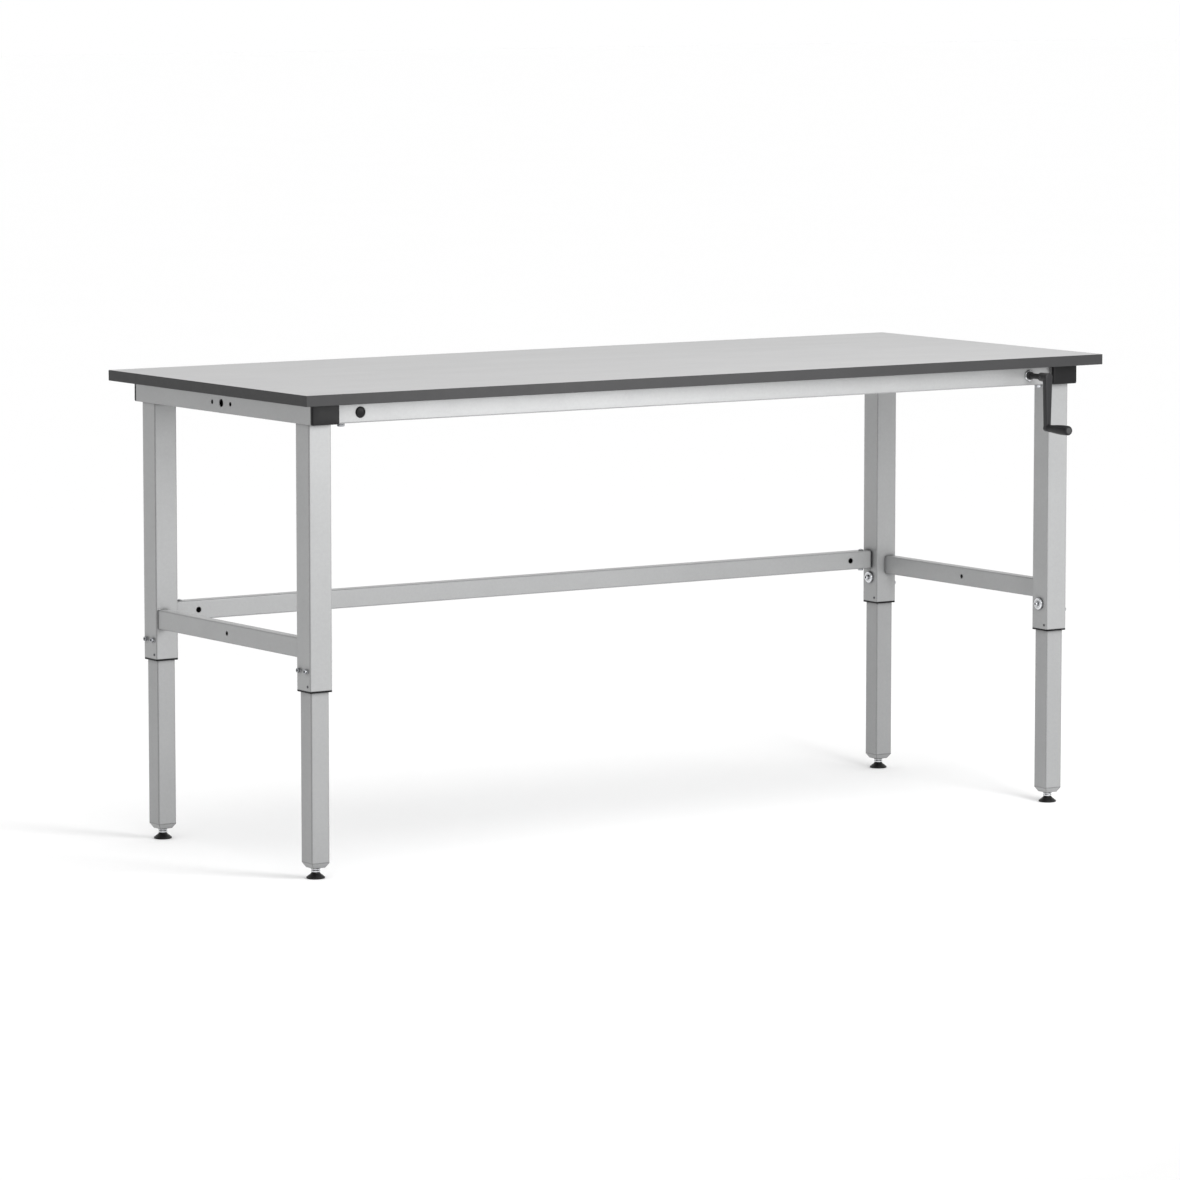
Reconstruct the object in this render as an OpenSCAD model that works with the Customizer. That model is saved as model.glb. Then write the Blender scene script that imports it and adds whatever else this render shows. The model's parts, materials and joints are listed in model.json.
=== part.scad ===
// Height adjustable standing desk on four telescopic legs, lifted by a hand crank and oil cylinders.
// Stands on z = 0, front towards -Y, crank at the front right. All sizes in millimetres.

/* [Worktop] */
// Width of the worktop, side to side.
top_width = 2000; // [1400:10:2400]
// Depth of the worktop, front to back.
top_depth = 800; // [700:10:1000]
// Full thickness of the worktop.
top_thick = 22; // [18:1:40]
// Thickness of the laminate sheets on both faces.
laminate_thick = 0.8; // [0.5:0.1:1.5]
// Thickness of the edge band.
band_thick = 2; // [1:0.5:3]

/* [Height] */
// Height of the worktop surface above the floor, as stored.
desk_height = 980; // [950:5:1200]
// How far the desk can sink from the stored height.
travel_down = 250; // [150:10:260]
// How far the desk can rise from the stored height.
travel_up = 50; // [20:10:80]

/* [Legs] */
// Outer side of the square upper leg tube.
leg_size = 52; // [46:1:60]
// Wall of the upper leg tube.
leg_wall = 2; // [1.5:0.5:3]
// Corner radius of the upper leg tube.
leg_corner = 2.5; // [2.5:0.5:6]
// Length of the upper leg tube below the end beam.
leg_length = 534.5; // [500:0.5:600]
// Distance from the worktop's side to the leg.
leg_side_gap = 44; // [20:1:100]
// Distance from the worktop's front and back to the leg.
leg_front_gap = 64; // [40:1:120]
// Wall of the sliding inner tube.
inner_wall = 2.5; // [2:0.5:3]
// Corner radius of the sliding inner tube.
inner_corner = 2.5; // [2:0.5:5]
// Thickness of the glide bush between the two tubes.
bush_wall = 3; // [2:0.5:4]
// Height of the bush's visible flange.
bush_flange = 3.5; // [2:0.5:6]
// Length of the bush inside the upper tube.
bush_depth = 46; // [30:1:60]

/* [Feet] */
// Diameter of the foot pad on the floor.
foot_d = 38; // [30:1:60]
// Height of the foot pad.
foot_h = 13; // [10:0.5:25]
// Height of the foot's hexagon.
foot_hex_h = 8.5; // [6:0.5:12]
// Width of the foot's hexagon across the flats.
foot_hex_af = 17; // [16:1:24]
// Diameter of the foot's stud.
stud_d = 10; // [8:1:12]
// How far a foot can be screwed out for levelling.
foot_travel = 10; // [5:1:12]

/* [Beams] */
// Width of the end beams under the worktop.
end_beam_width = 63; // [60:1:80]
// Height of all upper beams.
beam_height = 42; // [40:1:50]
// How far an end beam runs past the leg.
beam_overrun = 16; // [8:1:24]
// Depth of the front and rear upper beams and of the stretcher.
beam_depth = 30; // [25:1:40]
// Wall of all beams and rails.
beam_wall = 2; // [1.5:0.5:3]
// Corner radius of all beams and rails.
beam_corner = 2.5; // [2.5:0.5:5]
// Thickness of the plastic caps on the end beams.
cap_thick = 8; // [3:1:12]
// Setback of rails, stretcher and rear beam from the outside of the legs.
rail_inset = 4; // [0:0.5:8]
// Setback of the front beam from the front ends of the end beams.
front_beam_setback = 6; // [4:1:20]
// Width of the low side rails.
rail_width = 25; // [20:1:40]
// Height of the low side rails and of the stretcher.
rail_height = 40; // [30:1:50]
// Height of the side rails above the bottom of the upper leg tubes.
rail_rise = 63.5; // [40:0.5:120]
// Height of the stretcher above the bottom of the upper leg tubes.
stretcher_rise = 75.5; // [50:0.5:150]
// Gap between the stretcher's ends and the legs.
stretcher_gap = 4; // [1:0.5:8]

/* [Holes] */
// Diameter of the large accessory hole in an end beam.
port_d = 16; // [10:1:20]
// Diameter of the small accessory holes beside it.
port_side_d = 9; // [5:0.5:12]
// Distance of the small holes from the large one.
port_pitch = 36.5; // [25:0.5:60]
// Diameter of the hole in each side rail.
rail_hole_d = 9; // [5:0.5:12]
// Diameter of the holes in the stretcher.
stretcher_hole_d = 12; // [6:0.5:16]
// Distance of the stretcher holes from the legs.
stretcher_hole_inset = 60; // [50:1:120]

/* [Crank] */
// Distance of the crank axis from the end beam.
crank_side_gap = 56.5; // [56:0.5:90]
// Diameter of the crank shaft and spindle.
shaft_d = 12; // [10:1:16]
// Distance from the crank axis to the grip axis.
crank_radius = 109; // [90:1:140]
// Thickness of the crank arm, front to back.
arm_thick = 13; // [10:1:16]
// Diameter of the arm's hub.
hub_d = 19; // [16:1:26]
// Diameter of the arm's lower end.
arm_end_d = 14; // [13:1:20]
// Length of the grip.
grip_length = 66; // [50:1:100]
// Diameter of the grip next to the arm.
grip_d1 = 16; // [14:0.5:20]
// Diameter of the grip at its free end.
grip_d2 = 21; // [18:0.5:28]
// Diameter of the pin the grip turns on.
grip_pin_d = 8; // [6:0.5:10]
// Space between the worktop's front edge and the turning arm.
arm_gap = 3.5; // [2:0.5:10]

/* [Hydraulics] */
// Bore of the lift cylinders in the legs.
lift_bore = 16; // [14:1:20]
// Outer diameter of the lift cylinders.
lift_d = 24; // [22:1:28]
// Bore of the pump cylinders.
pump_bore = 20; // [18:1:22]
// Wall between two pump bores.
pump_web = 4; // [3:0.5:6]
// Diameter of the piston rods in the legs.
rod_d = 12; // [10:1:14]
// Diameter of the pump rods.
pump_rod_d = 10; // [8:1:14]
// Length of every piston.
piston_length = 16; // [12:1:24]
// Diameter of the oil hoses.
hose_d = 6; // [5:0.5:8]
// Bend radius of the oil hoses.
hose_bend_r = 12; // [10:1:14]

/* [Fits] */
// Radial clearance of pistons, rods and shafts in their bores.
run_gap = 0.05; // [0.02:0.01:0.1]
// Clearance between pieces that slide in one another.
slide_gap = 0.3; // [0.2:0.05:0.5]
// Clearance around pieces that are plugged together.
plug_gap = 0.2; // [0.1:0.05:0.4]

/* [Hidden] */
$fn = 48;

// Worktop.
core_thick = top_thick - 2 * laminate_thick;

// Heights above the floor.
top_under_z = desk_height - top_thick;
beam_z = top_under_z - beam_height;
beam_mid_z = beam_z + beam_height / 2;
tube_z = beam_z - leg_length;
rail_z = tube_z + rail_rise;
stretcher_z = tube_z + stretcher_rise;
foot_gap = 0.5;
stud_hold = 24;
inner_z = foot_h + foot_hex_h + foot_gap;

// Plan positions.
leg_x = top_width / 2 - leg_side_gap - leg_size / 2;
leg_y = top_depth / 2 - leg_front_gap - leg_size / 2;
end_beam_half = leg_y + leg_size / 2 + beam_overrun;
end_beam_inner_x = leg_x - end_beam_width / 2;
front_beam_y = end_beam_half - front_beam_setback - beam_depth / 2;
rear_beam_y = leg_y + leg_size / 2 - rail_inset - beam_depth / 2;
rail_x = leg_x + leg_size / 2 - rail_inset - rail_width / 2;
stretcher_half = leg_x - leg_size / 2;
end_beam_length = 2 * end_beam_half;
rail_half = leg_y - leg_size / 2;
crank_x = end_beam_inner_x - crank_side_gap;

// Inner tube and what slides in it.
bore_size = leg_size - 2 * leg_wall;
inner_size = bore_size - 2 * bush_wall;
inner_hollow = inner_size - 2 * inner_wall;
head_thick = 12;
head_corner = 2;
lift_head_gap = 14;
inner_top_z = beam_z - travel_down - head_thick - lift_head_gap;
bevel_h = 11;
bevel_in = 7;
plug_h = 46;
plug_top_z = inner_z + bevel_h + plug_h;
rod_seat = 14;
plug_web = 2;
stud_room = plug_h + bevel_h - rod_seat - plug_web;
glide_h = 34;
glide_lip = 4;

// Lift cylinders.
gland = 15;
piston_top_gap = 5;
lift_bore_top_z = beam_z - head_thick - 6;
piston_top_z = lift_bore_top_z - travel_down - piston_top_gap;
lift_bore_z = piston_top_z - piston_length - travel_up - piston_top_gap;
lift_z = lift_bore_z - gland;
hose_port_offset = 10;
hose_seat = 8;

// Crank, measured from the worktop's centre towards the front.
front_face_y = -front_beam_y - beam_depth / 2;
arm_back_y = -top_depth / 2 - arm_gap;
arm_front_y = arm_back_y - arm_thick;
washer_gap = 1;
grip_start_y = arm_front_y - washer_gap;
grip_cap_h = 3;
grip_end_y = grip_start_y - grip_length - grip_cap_h;
hub_length = 17;
grip_head_room = 8;
grip_washer_h = 3;
grip_washer_d = grip_pin_d + 4;
bush_nut_af = 22;
bush_nut_h = 3;
bush_body_d = shaft_d + 4;
shaft_seat = 4;
shaft_ring_h = 5;
plug_d = 20;
plug_depth = 8;
plug_head_h = 2;

// The origin lies under the middle of the whole outline, crank included.
y_shift = -(grip_end_y + top_depth / 2) / 2;

// Pump behind the front beam.
pump_ratio = pow(lift_bore / pump_bore, 2);
pump_travel_down = travel_down * pump_ratio;
pump_travel_up = travel_up * pump_ratio;
cradle_thick = 3;
pump_h = beam_height - 2 * cradle_thick;
pump_margin = 2;
spindle_web = 3.5;
pump_pitch = pump_bore + pump_web;
pump_first_x = shaft_d / 2 + spindle_web + pump_bore / 2;
pump_half_w = pump_first_x + pump_pitch + pump_bore / 2 + pump_margin;
cradle_y = -front_beam_y + beam_depth / 2;
cradle_screw_x = pump_half_w - 8;
collar_h = 5;
collar_d = 20;
yoke_thick = 14;
yoke_gap = 5;
yoke_side = 4;
yoke_seat = 3;
yoke_y = cradle_y + cradle_thick + collar_h + yoke_gap + yoke_thick / 2 + pump_travel_down;
pump_gland = 12;
pump_y = yoke_y + yoke_thick / 2 + pump_travel_up + yoke_gap;
pump_piston_y = pump_y + pump_gland + yoke_gap + pump_travel_down;
pump_bore_end_y = pump_piston_y + piston_length + pump_travel_up + yoke_gap;
pump_back_wall = 15;
oil_way_d = 4;
oil_way_cover = 7;
pump_end_y = pump_bore_end_y + pump_back_wall;
pump_z = beam_mid_z;
spindle_bite = 10;
spindle_end_y = pump_y + spindle_bite;
cradle_screw_inset = 20;
cradle_screw_y = [cradle_y + cradle_screw_inset, pump_y - cradle_screw_inset];
pump_offsets = [-pump_first_x - pump_pitch, -pump_first_x, pump_first_x, pump_first_x + pump_pitch];

// Hose routes.
nut_af = 11;
nut_h = 9;
hose_y1 = pump_end_y + 50;
hose_y2 = hose_y1 + 25;
hose_rear_near = rear_beam_y - 5;
hose_rear_far = leg_y + hose_port_offset;
hose_hole_d = 10;

// Fasteners.
guide_flange_d = 25.5;
guide_flange_h = 6;
guide_bolt_d = 6;
guide_head_d = 10;
guide_head_h = 6.5;
guide_bolt_z = tube_z + 54.5;
side_bolt_z = tube_z + 40;
side_bolt_y = 14;
side_bolt_d = 6;
side_head_d = 10;
side_head_h = 7;
bush_screw_z = tube_z + 9;
bush_screw_d = 4;
bush_head_d = 5;
bush_head_h = 1;
bush_screw_y = -leg_size / 2 + 10;
tongue_length = 60;
tongue_wall = 3;
tongue_corner = 1;
tongue_w = beam_depth - 2 * beam_wall - 2 * plug_gap;
tongue_h = beam_height - 2 * beam_wall - 2 * plug_gap;
tongue_bolt_inset = 20;
tongue_bolt_d = 8;
tongue_bolt_length = 12;
tongue_bolt_af = 13;
tongue_bolt_head_h = 5.3;
tongue_washer_d = 16;
tongue_washer_h = 1.6;
stretcher_bolt_d = 6;
stretcher_bolt_inset = 22;
stretcher_head_d = 10.5;
stretcher_head_h = 3.3;
stretcher_nut_af = 10;
stretcher_nut_h = 5;
screw_d = 5;
screw_head_d = 10;
screw_head_h = 2.5;
screw_bite = 15;
screw_access_d = 12;
screw_rows = [-0.8, -0.3, 0.3, 0.8];
beam_screw_x = [-0.45, 0.45];

// ---------- shared shapes ----------

module desk() {
  translate([0, y_shift, 0]) children();
}

// Rectangle with round corners, centred.
module soft_rect(w, h, r) {
  square([w - 2 * r, h], center = true);
  square([w, h - 2 * r], center = true);
  for (sx = [-1, 1], sy = [-1, 1])
    translate([sx * (w / 2 - r), sy * (h / 2 - r)]) circle(r = r);
}

module soft_post(w, h, r, length) {
  linear_extrude(height = length) soft_rect(w, h, r);
}

// Square tube along Z, centred on its axis.
module tube_post(size, wall, r, length) {
  linear_extrude(height = length) difference() {
    soft_rect(size, size, r);
    soft_rect(size - 2 * wall, size - 2 * wall, r - wall);
  }
}

// Rectangular tube along X, centred.
module beam_along_x(length, depth, height, wall, r) {
  translate([-length / 2, 0, 0]) rotate([90, 0, 90]) linear_extrude(height = length) difference() {
    soft_rect(depth, height, r);
    soft_rect(depth - 2 * wall, height - 2 * wall, r - wall);
  }
}

// Rectangular tube along Y, centred.
module beam_along_y(length, width, height, wall, r) {
  translate([0, length / 2, 0]) rotate([90, 0, 0]) linear_extrude(height = length) difference() {
    soft_rect(width, height, r);
    soft_rect(width - 2 * wall, height - 2 * wall, r - wall);
  }
}

// Round bar along +Y from y0 to y1.
module bar_y(d, y0, y1) {
  translate([0, y0, 0]) rotate([-90, 0, 0]) cylinder(h = y1 - y0, d = d);
}

// Hexagon along Z, given across the flats.
module hexagon(af, h) {
  cylinder(h = h, d = af / cos(30), $fn = 6);
}

// Bolt with a domed hexagon socket head; the head sits on z = 0 and the shank points down.
module socket_bolt(d, length, head_d, head_h) {
  translate([0, 0, -length]) cylinder(h = length, d = d);
  difference() {
    cylinder(h = head_h, d = head_d);
    translate([0, 0, head_h * 0.4]) hexagon(head_d * 0.46, head_h);
  }
}

// Bolt with a hexagon head on z = 0 and the shank down.
module hex_bolt(d, length, af, head_h) {
  translate([0, 0, -length]) cylinder(h = length, d = d);
  hexagon(af, head_h);
}

// The four legs: children are drawn at one leg.
module at_leg(sx, sy) {
  desk() translate([sx * leg_x, sy * leg_y, 0]) children();
}

// ---------- worktop ----------

module screw_points() {
  for (sx = [-1, 1], f = screw_rows)
    translate([sx * leg_x, f * (leg_y - leg_size), 0]) children();
  for (sy = [-1, 1], f = beam_screw_x)
    translate([f * leg_x, upper_beam_y(sy), 0]) children();
  for (sx = [-1, 1], y = cradle_screw_y)
    translate([crank_x + sx * cradle_screw_x, y, 0]) children();
}

module top_core() {
  color([0.72, 0.6, 0.44]) desk() difference() {
    translate([band_thick - top_width / 2, band_thick - top_depth / 2, top_under_z + laminate_thick])
      cube([top_width - 2 * band_thick, top_depth - 2 * band_thick, core_thick]);
    screw_points() translate([0, 0, top_under_z]) cylinder(h = screw_bite, d = screw_d);
  }
}

module top_laminate() {
  color([0.8, 0.8, 0.79]) desk() difference() {
    for (z = [top_under_z, desk_height - laminate_thick])
      translate([band_thick - top_width / 2, band_thick - top_depth / 2, z])
        cube([top_width - 2 * band_thick, top_depth - 2 * band_thick, laminate_thick]);
    screw_points() translate([0, 0, top_under_z - 1]) cylinder(h = screw_bite, d = screw_d);
  }
}

module edge_band() {
  color([0.36, 0.37, 0.38]) desk() difference() {
    translate([-top_width / 2, -top_depth / 2, top_under_z]) cube([top_width, top_depth, top_thick]);
    translate([band_thick - top_width / 2, band_thick - top_depth / 2, top_under_z - 1])
      cube([top_width - 2 * band_thick, top_depth - 2 * band_thick, top_thick + 2]);
  }
}

// ---------- upper frame ----------

module end_beam(side) {
  color([0.74, 0.75, 0.76]) desk() difference() {
    translate([side * leg_x, 0, beam_mid_z])
      beam_along_y(end_beam_length, end_beam_width, beam_height, beam_wall, beam_corner);
    // Accessory holes in the outside wall.
    translate([side * leg_x, 0, beam_mid_z]) rotate([0, side * 90, 0]) {
      cylinder(h = end_beam_width, d = port_d);
      for (s = [-1, 1]) translate([0, s * port_pitch, 0]) cylinder(h = end_beam_width, d = port_side_d);
    }
    // Screw access from below, screw holes above.
    for (f = screw_rows) translate([side * leg_x, f * (leg_y - leg_size), beam_z - 1]) {
      cylinder(h = beam_height / 2, d = screw_access_d);
      cylinder(h = beam_height + 2, d = screw_d);
    }
    // Hose passages down into the legs.
    for (sy = [-1, 1]) translate([side * leg_x, sy * hose_rear_far, beam_z - 1])
      cylinder(h = beam_wall + 2, d = port_d);
    // Hose passages through the inside wall.
    if (side < 0)
      translate([-end_beam_inner_x - beam_wall - 1, rear_beam_y, beam_mid_z]) rotate([90, 0, 90])
        soft_post(tongue_w - 2 * tongue_wall, hose_hole_d, 2, beam_wall + 2);
    else
      for (y = [hose_y1, hose_y2]) translate([end_beam_inner_x - 1, y, beam_mid_z]) rotate([0, 90, 0])
        cylinder(h = beam_wall + 2, d = hose_hole_d);
  }
}

module end_beam_left() {
  end_beam(-1);
}

module end_beam_right() {
  end_beam(1);
}

module beam_caps() {
  cap_spigot = 14;
  spigot_wall = 2;
  spigot_corner = 0.8;
  spigot_w = end_beam_width - 2 * beam_wall - 2 * plug_gap;
  spigot_h = beam_height - 2 * beam_wall - 2 * plug_gap;
  color([0.22, 0.22, 0.23]) desk()
    for (sx = [-1, 1], sy = [-1, 1])
      translate([sx * leg_x, sy * end_beam_half, beam_mid_z]) rotate([-90 * sy, 0, 0]) {
        soft_post(end_beam_width, beam_height, beam_corner, cap_thick);
        translate([0, 0, -cap_spigot]) linear_extrude(height = cap_spigot) difference() {
          soft_rect(spigot_w, spigot_h, spigot_corner);
          soft_rect(spigot_w - 2 * spigot_wall, spigot_h - 2 * spigot_wall, spigot_corner);
        }
      }
}

// Centre line of the front or the rear upper beam.
function upper_beam_y(sy) = sy < 0 ? -front_beam_y : rear_beam_y;

module upper_beam(sy) {
  translate([0, upper_beam_y(sy), beam_mid_z])
    beam_along_x(2 * end_beam_inner_x, beam_depth, beam_height, beam_wall, beam_corner);
}

// Vertical holes at both ends of a beam, and screw holes into the worktop.
module upper_beam_holes(sy) {
  for (sx = [-1, 1])
    translate([sx * (end_beam_inner_x - tongue_bolt_inset), upper_beam_y(sy), beam_z - 1])
      cylinder(h = beam_height / 2, d = tongue_bolt_d + 1);
  for (f = beam_screw_x) translate([f * leg_x, upper_beam_y(sy), beam_z - 1]) {
    cylinder(h = beam_height / 2, d = screw_access_d);
    cylinder(h = beam_height + 2, d = screw_d);
  }
}

module front_beam() {
  color([0.76, 0.77, 0.78]) desk() difference() {
    upper_beam(-1);
    upper_beam_holes(-1);
    // Blind hole for the plug and through hole for the crank bush.
    translate([-crank_x, front_face_y - 1, beam_mid_z]) bar_y(plug_d, 0, beam_wall + 2);
    translate([crank_x, front_face_y - 1, beam_mid_z]) bar_y(bush_body_d, 0, beam_depth + 2);
  }
}

module rear_beam() {
  color([0.76, 0.77, 0.78]) desk() difference() {
    upper_beam(1);
    upper_beam_holes(1);
    for (i = [0, 1]) translate([crank_x + pump_offsets[i], rear_beam_y - beam_depth / 2 - 1, beam_mid_z])
      bar_y(hose_hole_d, 0, beam_wall + 2);
  }
}

// Short tubes welded to the end beams and legs that the beams and the stretcher plug on to.
module tongues() {
  stretcher_tongue_h = rail_height - 2 * beam_wall - 2 * plug_gap;
  color([0.6, 0.61, 0.62]) desk() {
    for (sx = [-1, 1], sy = [-1, 1])
      difference() {
        translate([sx * (end_beam_inner_x - tongue_length / 2), upper_beam_y(sy), beam_mid_z])
          beam_along_x(tongue_length, tongue_w, tongue_h, tongue_wall, tongue_corner);
        translate([sx * (end_beam_inner_x - tongue_bolt_inset), upper_beam_y(sy), beam_z])
          cylinder(h = beam_height / 2, d = tongue_bolt_d);
        if (sy < 0)
          translate([sx * crank_x, front_face_y, beam_mid_z]) bar_y(bush_nut_af + 1, 0, beam_depth);
      }
    for (sx = [-1, 1]) difference() {
      translate([sx * (stretcher_half - tongue_length / 2), rear_beam_y, stretcher_z + rail_height / 2])
        beam_along_x(tongue_length, tongue_w, stretcher_tongue_h, tongue_wall, tongue_corner);
      translate([sx * (stretcher_half - stretcher_bolt_inset), rear_beam_y, stretcher_z])
        cylinder(h = rail_height, d = stretcher_bolt_d);
      translate([sx * (stretcher_half - stretcher_hole_inset), rear_beam_y, stretcher_z + rail_height / 2])
        rotate([90, 0, 0]) cylinder(h = beam_depth, d = stretcher_hole_d + 4);
    }
  }
}

// ---------- upper legs and low rails ----------

module leg_tube(sx, sy) {
  color([0.75, 0.76, 0.77]) at_leg(sx, sy) difference() {
    translate([0, 0, tube_z]) tube_post(leg_size, leg_wall, leg_corner, leg_length);
    leg_cross_holes(sx);
  }
}

// Holes for the guide bolt, the two side bolts and the bush screw of one leg.
module leg_cross_holes(sx) {
  translate([0, 0, guide_bolt_z]) rotate([0, -90 * sx, 0]) cylinder(h = leg_size, d = guide_bolt_d);
  for (s = [-1, 1]) translate([0, s * side_bolt_y, side_bolt_z]) rotate([0, 90 * sx, 0])
    cylinder(h = leg_size, d = side_bolt_d);
  translate([-leg_size, bush_screw_y, bush_screw_z]) rotate([0, 90, 0])
    cylinder(h = leg_size, d = bush_screw_d);
}

module leg_tube_fl() {
  leg_tube(-1, -1);
}

module leg_tube_fr() {
  leg_tube(1, -1);
}

module leg_tube_rl() {
  leg_tube(-1, 1);
}

module leg_tube_rr() {
  leg_tube(1, 1);
}

module side_rail(side) {
  color([0.75, 0.76, 0.77]) desk() translate([side * rail_x, 0, rail_z + rail_height / 2]) difference() {
    beam_along_y(2 * rail_half, rail_width, rail_height, beam_wall, beam_corner);
    translate([-rail_width, 0, 0]) rotate([0, 90, 0]) cylinder(h = 2 * rail_width, d = rail_hole_d);
  }
}

module side_rail_left() {
  side_rail(-1);
}

module side_rail_right() {
  side_rail(1);
}

module rear_stretcher() {
  color([0.75, 0.76, 0.77]) desk() translate([0, rear_beam_y, stretcher_z + rail_height / 2]) difference() {
    beam_along_x(2 * (stretcher_half - stretcher_gap), beam_depth, rail_height, beam_wall, beam_corner);
    for (sx = [-1, 1]) {
      translate([sx * (stretcher_half - stretcher_hole_inset), 0, 0]) rotate([90, 0, 0])
        cylinder(h = beam_depth, d = stretcher_hole_d);
      translate([sx * (stretcher_half - stretcher_bolt_inset), 0, -rail_height])
        cylinder(h = 2 * rail_height, d = stretcher_bolt_d);
    }
  }
}

// Plastic bushes at the lower ends of the upper tubes; the inner tubes slide in them.
module glide_bushes() {
  hole = inner_size + 2 * slide_gap;
  color([0.07, 0.07, 0.08]) for (sx = [-1, 1], sy = [-1, 1]) at_leg(sx, sy) difference() {
    union() {
      translate([0, 0, tube_z - bush_flange]) soft_post(leg_size, leg_size, leg_corner, bush_flange);
      translate([0, 0, tube_z]) soft_post(bore_size, bore_size, leg_corner - leg_wall, bush_depth);
    }
    translate([0, 0, tube_z - bush_flange - 1])
      soft_post(hole, hole, inner_corner + slide_gap, bush_depth + bush_flange + 2);
    leg_cross_holes(sx);
  }
}

// ---------- lift cylinders ----------

module lift_cylinders() {
  color([0.62, 0.63, 0.65]) for (sx = [-1, 1], sy = [-1, 1]) at_leg(sx, sy) difference() {
    union() {
      translate([0, 0, beam_z - head_thick])
        soft_post(bore_size - 2 * plug_gap, bore_size - 2 * plug_gap, head_corner, head_thick);
      translate([0, 0, lift_z]) cylinder(h = beam_z - head_thick - lift_z, d = lift_d);
    }
    translate([0, 0, lift_z - 1]) cylinder(h = gland + 2, d = rod_d + 2 * run_gap);
    translate([0, 0, lift_bore_z]) cylinder(h = lift_bore_top_z - lift_bore_z, d = lift_bore);
    translate([0, sy * hose_port_offset, beam_z - hose_seat]) cylinder(h = hose_seat + 1, d = hose_d);
    translate([0, 0, lift_bore_top_z - 1]) cylinder(h = 8, d = oil_way_d);
    translate([0, 0, beam_z - hose_seat - oil_way_d / 2]) rotate([-90 * sy, 0, 0])
      cylinder(h = hose_port_offset, d = oil_way_d);
  }
}

module piston_rod(sx, sy) {
  rod_z = plug_top_z - rod_seat;
  color([0.8, 0.81, 0.83]) at_leg(sx, sy) {
    translate([0, 0, rod_z]) cylinder(h = piston_top_z - piston_length - rod_z, d = rod_d);
    translate([0, 0, piston_top_z - piston_length])
      cylinder(h = piston_length, d = lift_bore - 2 * run_gap);
  }
}

module piston_rod_fl() {
  piston_rod(-1, -1);
}

module piston_rod_fr() {
  piston_rod(1, -1);
}

module piston_rod_rl() {
  piston_rod(-1, 1);
}

module piston_rod_rr() {
  piston_rod(1, 1);
}

// ---------- inner legs ----------

module inner_tube(sx, sy) {
  color([0.68, 0.69, 0.7]) at_leg(sx, sy) translate([0, 0, inner_z + bevel_h])
    tube_post(inner_size, inner_wall, inner_corner, inner_top_z - inner_z - bevel_h);
}

module inner_tube_fl() {
  inner_tube(-1, -1);
}

module inner_tube_fr() {
  inner_tube(1, -1);
}

module inner_tube_rl() {
  inner_tube(-1, 1);
}

module inner_tube_rr() {
  inner_tube(1, 1);
}

// Collar on top of the inner tube that glides in the upper tube.
module top_glide(sx, sy) {
  outside = bore_size - 2 * slide_gap;
  r = leg_corner - leg_wall - slide_gap;
  color([0.85, 0.85, 0.82]) at_leg(sx, sy) difference() {
    translate([0, 0, inner_top_z - glide_h]) soft_post(outside, outside, r, glide_h + glide_lip);
    translate([0, 0, inner_top_z - glide_h - 1])
      soft_post(inner_size, inner_size, inner_corner, glide_h + 1);
    translate([0, 0, inner_top_z - 1]) cylinder(h = glide_lip + 2, d = lift_d + 4);
  }
}

module top_glide_fl() {
  top_glide(-1, -1);
}

module top_glide_fr() {
  top_glide(1, -1);
}

module top_glide_rl() {
  top_glide(-1, 1);
}

module top_glide_rr() {
  top_glide(1, 1);
}

// Bevelled plug in the lower end of the inner tube; holds the foot's stud and the piston rod.
module end_plug(sx, sy) {
  half = inner_size / 2;
  low = half - bevel_in;
  profile = [[-low, 0], [low, 0], [half, bevel_h], [-half, bevel_h]];
  color([0.62, 0.63, 0.64]) at_leg(sx, sy) translate([0, 0, inner_z]) difference() {
    union() {
      intersection() {
        translate([0, half, 0]) rotate([90, 0, 0]) linear_extrude(height = inner_size) polygon(profile);
        translate([-half, 0, 0]) rotate([90, 0, 90]) linear_extrude(height = inner_size) polygon(profile);
        soft_post(inner_size, inner_size, inner_corner, bevel_h);
      }
      translate([0, 0, bevel_h]) soft_post(inner_hollow, inner_hollow, 0.5, plug_h);
    }
    translate([0, 0, -1]) cylinder(h = stud_room, d = stud_d + 2 * run_gap);
    translate([0, 0, plug_h + bevel_h - rod_seat]) cylinder(h = rod_seat + 1, d = rod_d);
  }
}

module end_plug_fl() {
  end_plug(-1, -1);
}

module end_plug_fr() {
  end_plug(1, -1);
}

module end_plug_rl() {
  end_plug(-1, 1);
}

module end_plug_rr() {
  end_plug(1, 1);
}

// Levelling foot: rubber pad moulded on to a steel stud with a hexagon.
module foot(sx, sy) {
  stud_length = foot_travel + stud_hold;
  rim = 3;
  color([0.12, 0.12, 0.13]) at_leg(sx, sy) rotate_extrude() polygon([
    [0, 0], [foot_d / 2 - 1, 0], [foot_d / 2, 1], [foot_d / 2, rim],
    [foot_hex_af / 2 + 2, foot_h * 0.6], [foot_hex_af / 2, foot_h], [0, foot_h]
  ]);
  color([0.6, 0.6, 0.6]) at_leg(sx, sy) translate([0, 0, foot_h]) {
    hexagon(foot_hex_af, foot_hex_h);
    cylinder(h = foot_hex_h + stud_length, d = stud_d);
  }
}

module foot_fl() {
  foot(-1, -1);
}

module foot_fr() {
  foot(1, -1);
}

module foot_rl() {
  foot(-1, 1);
}

module foot_rr() {
  foot(1, 1);
}

// ---------- pump ----------

module at_crank() {
  desk() translate([crank_x, 0, pump_z]) children();
}

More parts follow.
